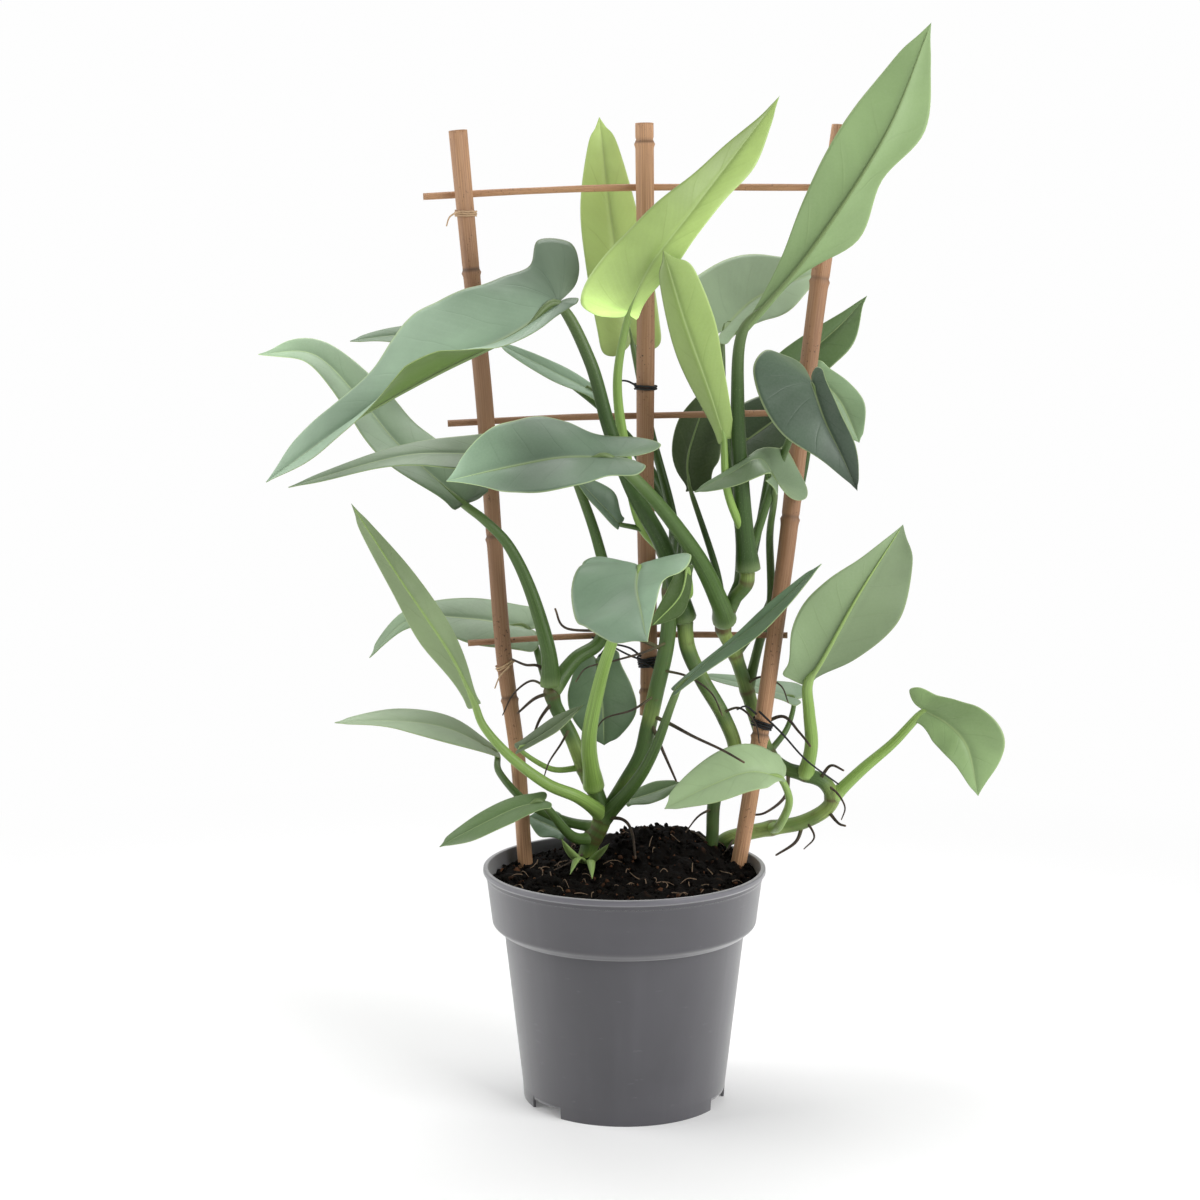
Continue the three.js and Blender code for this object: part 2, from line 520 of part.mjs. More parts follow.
// The pot's wall and raised floor are turned in one. A pad under the middle of the floor
// reaches the ground with the foot skirt, and the notches let water out.
function makePot() {
  const { wall } = POT;
  const profile = [
    [0, 0],
    [POT.padRadius, 0],
    [POT.padRadius, POT.floorUnder],
    [POT.footRadius - wall, POT.floorUnder],
    [POT.footRadius - wall, 0],
    [POT.footRadius, 0],
    [POT.skirtRadius, POT.floorTop],
    [POT.shoulderRadius, POT.shoulder],
    [POT.stepRadius, POT.shoulder],
    [POT.collarFootRadius, POT.collarFoot],
    [POT.collarTopRadius, POT.height - POT.lipFoot],
    [POT.lipRadius, POT.height - POT.lipDrop],
    [POT.rimRadius, POT.height],
    [POT.collarTopRadius - wall, POT.height],
    [POT.collarFootRadius - wall, POT.collarFoot],
    [POT.shoulderRadius - wall, POT.shoulder - wall],
    [POT.skirtRadius - wall, POT.floorTop],
    [0, POT.floorTop],
  ].map(([r, z]) => new THREE.Vector2(r, z));
  let pot = solidOf(new THREE.LatheGeometry(profile, POT.sides).rotateX(Math.PI / 2));
  for (const degrees of NOTCH_ANGLES) {
    const notch = new THREE.BoxGeometry(NOTCH_WIDTH, NOTCH_DEPTH, 2 * NOTCH_HEIGHT);
    notch.translate(0, wall - POT.footRadius, 0).rotateZ(rad(degrees));
    pot = pot.subtract(solidOf(notch));
  }
  return pot;
}

// Height of the soil's surface.
function soilTop(x, y) {
  const away = Math.hypot((x - SOIL.moundX) / SOIL.moundWidth, (y - SOIL.moundY) / SOIL.moundDepth);
  const lumps = Math.sin(x * 0.31 + 1.2) * Math.cos(y * 0.27) + 0.6 * Math.sin(x * 0.13 - y * 0.41);
  return SOIL.edgeTop + SOIL.mound * Math.exp(-away * away) + SOIL.lumps * lumps;
}

// The soil fills the pot from its floor up. Its side keeps clear of the pot's inner wall.
function makeSoil() {
  const clear = POT.wall + GAP;
  const low = POT.floorTop + GAP;
  const neck = POT.shoulder - POT.wall;
  const { mapLinear } = THREE.MathUtils;
  const belowStep = (z) => mapLinear(z, POT.floorTop, neck, POT.skirtRadius, POT.shoulderRadius) - clear;
  const aboveStep = (z) =>
    mapLinear(z, POT.collarFoot, POT.height, POT.collarFootRadius, POT.collarTopRadius) - clear;
  const topRadius = aboveStep(SOIL.edgeTop);
  const rows = [
    [low, 0],
    [low, belowStep(low)],
    [neck, belowStep(neck)],
    [POT.collarFoot, aboveStep(POT.collarFoot)],
    ...evenly(SOIL.rings).map((t) => [null, topRadius * (1 - t)]),
  ];
  const rings = rows.map(([z, r]) =>
    Array.from({ length: POT.sides }, (_, k) => {
      const angle = (2 * Math.PI * k) / POT.sides;
      const x = r * Math.cos(angle);
      const y = r * Math.sin(angle);
      return new THREE.Vector3(x, y, z ?? soilTop(x, y));
    }),
  );
  const triangles = [];
  for (let i = 0; i + 1 < rings.length; i++) {
    for (let k = 0; k < POT.sides; k++) {
      const next = (k + 1) % POT.sides;
      const outer = rings[i];
      const inner = rings[i + 1];
      triangles.push([outer[k], outer[next], inner[next]], [outer[k], inner[next], inner[k]]);
    }
  }
  return solidFrom(triangles);
}

// How many short lengths a curve is measured in.
const LENGTHS = 200;

// Where the point number of a list of points lies along its curve, from 0 to 1 by length.
function partAt(curve, number) {
  const lengths = curve.getLengths(LENGTHS);
  const place = (number / (curve.points.length - 1)) * LENGTHS;
  const low = Math.floor(place);
  const high = Math.min(low + 1, LENGTHS);
  return THREE.MathUtils.lerp(lengths[low], lengths[high], place - low) / lengths[LENGTHS];
}

// A cane is round and straight between its raised knots.
function caneSolid(cane, extra = 0) {
  const curve = curveOf(cane.points);
  const knots = cane.knots.map((number) => partAt(curve, number));
  const half = KNOT_LENGTH / curve.getLength();
  const rise = (t) => Math.max(...knots.map((knot) => 1 - Math.abs(t - knot) / half), 0);
  const atKnots = knots.flatMap((knot) => [knot - half, knot, knot + half]);
  const stops = [...evenly(cane.points.length), ...atKnots].filter((t) => t >= 0 && t <= 1);
  const sorted = [...new Set(stops)].sort((a, b) => a - b);
  const radiusOf = between(cane.radii[0] + extra, cane.radii[1] + extra);
  return tube(curve, (t) => radiusOf(t) + KNOT_RISE * rise(t), CANE_SIDES, sorted);
}

function barSolid(points) {
  return tube(curveOf(points), () => BAR_RADIUS, BAR_SIDES, evenly(BAR_STEPS));
}

function tieSolid(tie) {
  const cane = CANES[tie.cane];
  const curve = curveOf(cane.points);
  const t = partAt(curve, tie.at);
  const axis = curve.getTangentAt(t).applyAxisAngle(new THREE.Vector3(0, 1, 0), rad(tie.tilt));
  const size = (between(...cane.radii)(t) + GAP + TIE_STANDOFF) / Math.cos(rad(tie.tilt));
  const ring = new THREE.TorusGeometry(size, TIE_RADIUS, TIE_SIDES, TIE_STEPS);
  const upright = new THREE.Vector3(0, 0, 1);
  ring.applyQuaternion(new THREE.Quaternion().setFromUnitVectors(upright, axis.normalize()));
  const centre = curve.getPointAt(t);
  return solidOf(ring.translate(centre.x, centre.y, centre.z));
}

// A stem with the aerial roots that grow from it.
function stemSolid(stem, extra = 0) {
  const radiusOf = between(stem.radii[0] + extra, stem.radii[1] + extra);
  let solid = tube(curveOf(stem.points), radiusOf, STEM_SIDES, evenly(Math.round(1.6 * stem.points.length)));
  for (const root of stem.roots) {
    const thickness = between(ROOT_BASE + extra, ROOT_TIP + extra);
    solid = solid.add(tube(curveOf(root), thickness, ROOT_SIDES, evenly(root.length + 1)));
  }
  return solid;
}

// A value given at the base, the middle and the tip of a rib, blended along it.
function blend([base, middle, tip], along) {
  const t = THREE.MathUtils.clamp(along, 0, 1);
  if (t < MIDDLE_STATION) return between(base, middle)(t / MIDDLE_STATION);
  return between(middle, tip)((t - MIDDLE_STATION) / (1 - MIDDLE_STATION));
}

// The outline of one half of a blade, from the notch at the stalk round the lobe to the
// tip. Each row is where it leaves the rib, where its edge lies along the leaf, both as
// parts of the rib, and how far out its edge is.
function outlineOf(half, length) {
  const back = half.lobe / length;
  const lobeWidth = half.lobeWidth ?? half.widths[0];
  const neck = { leaves: 0, edge: NECK_PLACE * back, width: half.neck };
  const count = half.widths.length;
  const stations = half.widths.map((width, i) => {
    const edge = FIRST_STATION + ((LAST_STATION - FIRST_STATION) * i) / (count - 1);
    return { leaves: Math.max(edge - VEIN_SLANT * (1 - edge), 0), edge, width };
  });
  return [
    { leaves: 0, edge: 0, width: 0 },
    ...LOBE_ROWS.map(([reach, width]) => ({ leaves: 0, edge: reach * back, width: width * lobeWidth })),
    ...(half.neck ? [neck] : []),
    ...stations,
    { ...TIP_ROW, width: TIP_ROW.width * half.widths[count - 1] },
    { leaves: 1, edge: 1, width: 0 },
  ];
}

// A point of a blade and the way its upper face looks there. "along" runs from 0 at the
// stalk to 1 at the tip, "out" is the distance from the rib, and side is 1 for the right
// half and -1 for the left.
function bladePoint(leaf, rib, along, out, side) {
  const half = side > 0 ? leaf.right : leaf.left;
  const t = THREE.MathUtils.clamp(along, 0, 1);
  const step = 0.04;
  const before = rib.getPointAt(Math.max(t - step, 0));
  const tangent = rib.getPointAt(Math.min(t + step, 1)).sub(before).normalize();
  const point = rib.getPointAt(t).addScaledVector(tangent, Math.min(along, 0) * rib.getLength());
  const facing = new THREE.Vector3(0, -1, 0).addScaledVector(tangent, tangent.y).normalize();
  facing.applyAxisAngle(tangent, rad(blend(leaf.turn, along)));
  const across = tangent.clone().cross(facing).multiplyScalar(side);
  const lift = out === 0 ? 0 : rad(blend(half.fold, along));
  point.addScaledVector(across, out * Math.cos(lift)).addScaledVector(facing, out * Math.sin(lift));
  const upward = facing.multiplyScalar(Math.cos(lift)).addScaledVector(across, -Math.sin(lift));
  return { point, upward };
}

// A blade's two faces are split into the same triangles, and a narrow strip joins them
// all round the edge.
function bladeSolid(leaf) {
  const rib = curveOf(leaf.rib);
  const triangles = [];
  for (const side of [1, -1]) {
    const outline = outlineOf(side > 0 ? leaf.right : leaf.left, rib.getLength());
    const rows = outline.map(({ leaves, edge, width }) =>
      [0, 1].map((part) => {
        const { point, upward } = bladePoint(leaf, rib, between(leaves, edge)(part), width * part, side);
        const thickness = edge > LAST_STATION ? TIP_BLADE : BLADE;
        const top = point.clone().addScaledVector(upward, thickness / 2);
        const under = point.clone().addScaledVector(upward, -thickness / 2);
        return { top, under };
      }),
    );
    const add = (a, b, c) => triangles.push(side > 0 ? [a, b, c] : [a, c, b]);
    for (let i = 0; i + 1 < rows.length; i++) {
      const [middle, edge] = rows[i];
      const [nextMiddle, nextEdge] = rows[i + 1];
      add(middle.top, nextEdge.top, nextMiddle.top);
      add(middle.top, edge.top, nextEdge.top);
      add(middle.under, nextMiddle.under, nextEdge.under);
      add(middle.under, nextEdge.under, edge.under);
      add(edge.top, edge.under, nextEdge.under);
      add(edge.top, nextEdge.under, nextEdge.top);
    }
  }
  return solidFrom(triangles);
}

// The curve that a stalk grows from: a stem, or the stalk of another leaf.
function parentCurve(leaf) {
  const stem = STEMS[leaf.stem];
  return stem ? curveOf(stem.points) : stalkCurve(LEAVES.find((other) => other.name === leaf.stem));
}

// The stalk runs from the middle of its stem to the underside of the rib.
function stalkCurve(leaf) {
  const rib = curveOf(leaf.rib);
  const under = (along, below) => {
    const { point, upward } = bladePoint(leaf, rib, along, 0, 1);
    return point.addScaledVector(upward, -below).toArray();
  };
  const parent = parentCurve(leaf);
  const start = parent.getPointAt(partAt(parent, leaf.at)).toArray();
  const [depth, endDepth] = STALK_DEPTHS;
  return curveOf([start, ...leaf.stalk, under(0, depth), under(STALK_REACH, endDepth)]);
}

function stalkSolid(leaf, extra = 0) {
  const [base, top] = leaf.radii;
  const toBlade = between(base + extra, top + extra);
  const underRib = between(top + extra, STALK_END + extra);
  const radiusAt = (t) =>
    t < STALK_TO_BLADE ? toBlade(t / STALK_TO_BLADE) : underRib((t - STALK_TO_BLADE) / (1 - STALK_TO_BLADE));
  return tube(stalkCurve(leaf), radiusAt, STALK_SIDES, evenly(3 + 2 * leaf.stalk.length));
}

addPiece("pot", makePot(), "plastic");

const stems = Object.values(STEMS);
const roomForStems = stems.map((stem) => stemSolid(stem, GAP));
const roomForCanes = Object.values(CANES).map((cane) => caneSolid(cane, GAP));
const soil = [...roomForStems, ...roomForCanes].reduce((left, hole) => left.subtract(hole), makeSoil());
addPiece("soil", largest(soil), "peat");

for (const [name, cane] of Object.entries(CANES)) addPiece(name, caneSolid(cane), "bamboo");
for (const [name, points] of Object.entries(BARS)) addPiece(name, barSolid(points), "bamboo");
for (const [name, tie] of Object.entries(TIES)) addPiece(name, tieSolid(tie), tie.material);

// Each stem keeps clear of the stems before it.
for (const [index, name] of Object.keys(STEMS).entries()) {
  const earlier = roomForStems.slice(0, index);
  const cut = earlier.reduce((left, other) => left.subtract(other), stemSolid(STEMS[name]));
  addPiece(name, largest(cut), "stem");
}

// A leaf is its blade and its stalk, and keeps clear of the stems and of earlier stalks.
const roomForStalks = [];
for (const leaf of LEAVES) {
  const whole = bladeSolid(leaf).add(stalkSolid(leaf));
  const cut = [...roomForStems, ...roomForStalks].reduce((left, other) => left.subtract(other), whole);
  addPiece(leaf.name, largest(cut), leaf.material);
  roomForStalks.push(stalkSolid(leaf, GAP));
}

export default plant;
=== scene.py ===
"""A philodendron hastatum in a grey nursery pot, tied to a fan of bamboo canes.

The tables are in millimetres, with +Z up and the front of the plant towards -Y.
"""

import math

import bmesh
import bpy
import numpy as np
from bpy.props import FloatProperty, FloatVectorProperty, IntProperty, PointerProperty
from bpy.types import Operator, Panel, PropertyGroup
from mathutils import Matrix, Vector


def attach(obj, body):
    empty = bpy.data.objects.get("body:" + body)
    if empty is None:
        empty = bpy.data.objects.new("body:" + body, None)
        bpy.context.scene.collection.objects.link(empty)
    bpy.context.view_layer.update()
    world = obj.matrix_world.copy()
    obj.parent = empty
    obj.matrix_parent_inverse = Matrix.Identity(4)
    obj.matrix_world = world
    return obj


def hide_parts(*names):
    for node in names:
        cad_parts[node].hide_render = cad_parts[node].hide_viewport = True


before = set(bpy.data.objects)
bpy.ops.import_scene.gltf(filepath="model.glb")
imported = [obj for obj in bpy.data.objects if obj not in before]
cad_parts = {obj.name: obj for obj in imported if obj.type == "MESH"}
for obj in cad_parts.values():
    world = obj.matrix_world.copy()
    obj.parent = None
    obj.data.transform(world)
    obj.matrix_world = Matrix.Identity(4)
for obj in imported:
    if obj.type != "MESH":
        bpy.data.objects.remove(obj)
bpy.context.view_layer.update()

bl_info = {
    "name": "Potted philodendron",
    "version": (1, 0, 0),
    "blender": (4, 5, 0),
    "location": "View3D > Sidebar > Plant",
    "description": "Grows a climbing philodendron on its bamboo fan, in its pot",
    "category": "Object",
}

MM = 0.001

# Bamboo: points up the middle of each cane, its radius at the foot and at the top, and
# its knots as the number of a point in that list.
CANES = {
    "cane_left": {
        "points": [(-45, 27, 76), (-50, 29, 97), (-54, 29, 118), (-58, 29, 177), (-65, 29, 232),
                   (-70, 29, 297), (-75, 29, 372), (-82, 29, 446), (-88, 29, 513)],
        "radii": (3.9, 4.7), "knots": (3.6, 5, 6.9),
    },
    "cane_middle": {
        "points": [(13, 33, 201), (13, 33, 242), (11, 33, 329), (11, 33, 425), (10, 33, 517)],
        "radii": (4.7, 4.7), "knots": (0.35, 2.2, 3.88),
    },
    "cane_right": {
        "points": [(47, 15, 76), (55, 18, 97), (62, 20, 122), (72, 22, 184), (76, 24, 210), (86, 27, 286),
                   (92, 30, 340), (102, 33, 425), (114, 37, 516)],
        "radii": (4.2, 5.2), "knots": (3.2, 5.4, 7.1),
    },
}
BARS = {
    "bar_top": [(-107, 34.9, 479), (-51, 36.4, 482), (10, 39.5, 484), (116, 42.6, 484)],
    "bar_middle": [(-95, 34.3, 359), (-35, 37, 362), (11, 39.6, 363), (99, 37.4, 365)],
    "bar_low": [(-85, 33.9, 240), (-35, 36.8, 243), (13, 39.9, 244), (88, 31.2, 245)],
}
# Each tie's cane, its place as a point number of that cane, its tilt in degrees, how many
# times it goes round, and the points of its loose ends.
TIES = {
    "tie_middle_upper": {
        "cane": "cane_middle", "at": 2.52, "tilt": 4, "turns": 2, "slot": "tie_wire",
        "ends": [[(7, 27.5, 379), (1, 26, 382), (-5, 27, 382)]],
    },
    "tie_middle_low": {
        "cane": "cane_middle", "at": 0.8, "tilt": -8, "turns": 4, "slot": "tie_wire",
        "ends": [[(16, 28, 230), (4, 27, 234), (-7, 30, 239), (-18, 31, 244)],
                 [(9, 27, 234), (2, 26, 239), (-8, 27, 240), (-14, 25, 234)],
                 [(10, 27, 231), (17, 25, 227), (22, 26, 221)]],
    },
    "tie_right_low": {
        "cane": "cane_right", "at": 3.6, "tilt": 12, "turns": 3, "slot": "tie_wire",
        "ends": [[(72, 17, 206), (84, 12, 195), (97, 9, 181), (115, 12, 167)],
                 [(71, 18, 204), (65, 14, 209), (60, 15, 207)]],
    },
    "tie_left_low": {
        "cane": "cane_left", "at": 3.95, "tilt": -20, "turns": 2, "slot": "twine",
        "ends": [[(-62, 23, 229), (-67, 21, 224), (-70, 22, 217)]],
    },
    "tie_left_upper": {
        "cane": "cane_left", "at": 7.35, "tilt": 6, "turns": 3, "slot": "twine",
        "ends": [[(-87, 23, 471), (-92, 22, 468), (-94, 23, 463)]],
    },
    "tie_right_upper": {
        "cane": "cane_right", "at": 7.4, "tilt": -6, "turns": 3, "slot": "twine",
        "ends": [[(108, 30, 462), (113, 29, 458), (114, 30, 453)]],
    },
}

# Stems: points along each from inside the soil, or from the stem it branches off, its
# radius at both ends, and the aerial roots that grow from it.
STEMS = {
    "stem_left": {
        "points": [(-21, 23, 97), (-21, 23, 119), (-18, 22, 133), (-12, 20, 146), (-15, 18, 160),
                   (-22, 17, 175), (-29, 16, 193), (-37, 15, 209), (-40, 14, 221)],
        "radii": (5.2, 3.6),
        "roots": [
            [(-39, 13, 218), (-45, 14, 230), (-53, 10, 232), (-61, 7, 236)],
            [(-40, 14, 216), (-48, 8, 214), (-57, 2, 207)],
            [(-38, 14, 212), (-45, 9, 203), (-49, 8, 193)],
            [(-12, 18, 147), (-1, 10, 148), (4, 6, 142), (6, 3, 128)],
        ],
    },
    "stem_centre": {
        "points": [(-10, 20, 148), (0, 22, 164), (9, 23, 180), (13, 22, 197), (17, 20, 216), (22, 19, 239),
                   (24, 18, 260), (24, 17, 279), (20, 14, 298)],
        "radii": (4.6, 4),
        "roots": [
            [(14, 21, 203), (24, 12, 200), (36, -14, 198), (51, -26, 193), (62, -34, 188)],
            [(21, 18, 239), (8, 14, 245), (-8, 10, 250), (-31, 8, 252), (-37, 6, 263)],
            [(14, 20, 200), (20, 15, 186), (28, 13, 168)],
        ],
    },
    "stem_middle_right": {
        "points": [(42, 27, 95), (46, 30, 119), (48, 30, 133), (49, 30, 153), (54, 29, 170), (60, 29, 183),
                   (53, 28, 202), (42, 27, 221), (34, 25, 239), (32, 22, 257)],
        "radii": (3.2, 4.4),
        "roots": [[(48, 31, 128), (38, 40, 134), (26, 46, 134)]],
    },
    "stem_right": {
        "points": [(44, 32, 97), (50, 37, 118), (54, 38, 129), (65, 40, 133), (81, 42, 136), (97, 42, 139),
                   (110, 41, 146), (114, 39, 154), (109, 37, 163), (99, 38, 167), (88, 41, 170),
                   (79, 42, 178), (73, 42, 194), (67, 40, 213), (60, 34, 234), (53, 25, 250),
                   (57, 14, 265), (64, 9, 275), (65, 7, 285)],
        "radii": (4.2, 3.6),
        "roots": [
            [(107, 36, 165), (112, 28, 174), (119, 24, 172)],
            [(98, 42, 137), (94, 38, 129), (83, 36, 122)],
            [(112, 40, 146), (117, 33, 141), (121, 30, 140)],
            [(90, 40, 169), (88, 34, 156), (77, 28, 148), (68, 30, 146)],
            [(73, 41, 193), (86, 34, 200), (94, 20, 194), (100, 14, 187)],
        ],
    },
}

# Where the first and the last half width of a blade lie, as parts of the rib's length.
FIRST_STATION = 0.06
LAST_STATION = 0.88
# Where the middle one of three turns or folds holds, and how far behind its edge a row of
# a blade leaves the rib.
MIDDLE_STATION = 0.4
VEIN_SLANT = 0.13
# The lobe behind the stalk, as parts of its reach and of its width.
LOBE_ROWS = [(-0.5, 0.07), (-0.85, 0.32), (-1, 0.65), (-0.6, 0.95)]
# Where a lobe narrows to its neck, as a part of its reach.
NECK_PLACE = -0.15
# The row just before the tip: where it leaves the rib, where its edge lies, its width.
TIP_ROW = (0.945, 0.955, 0.35)

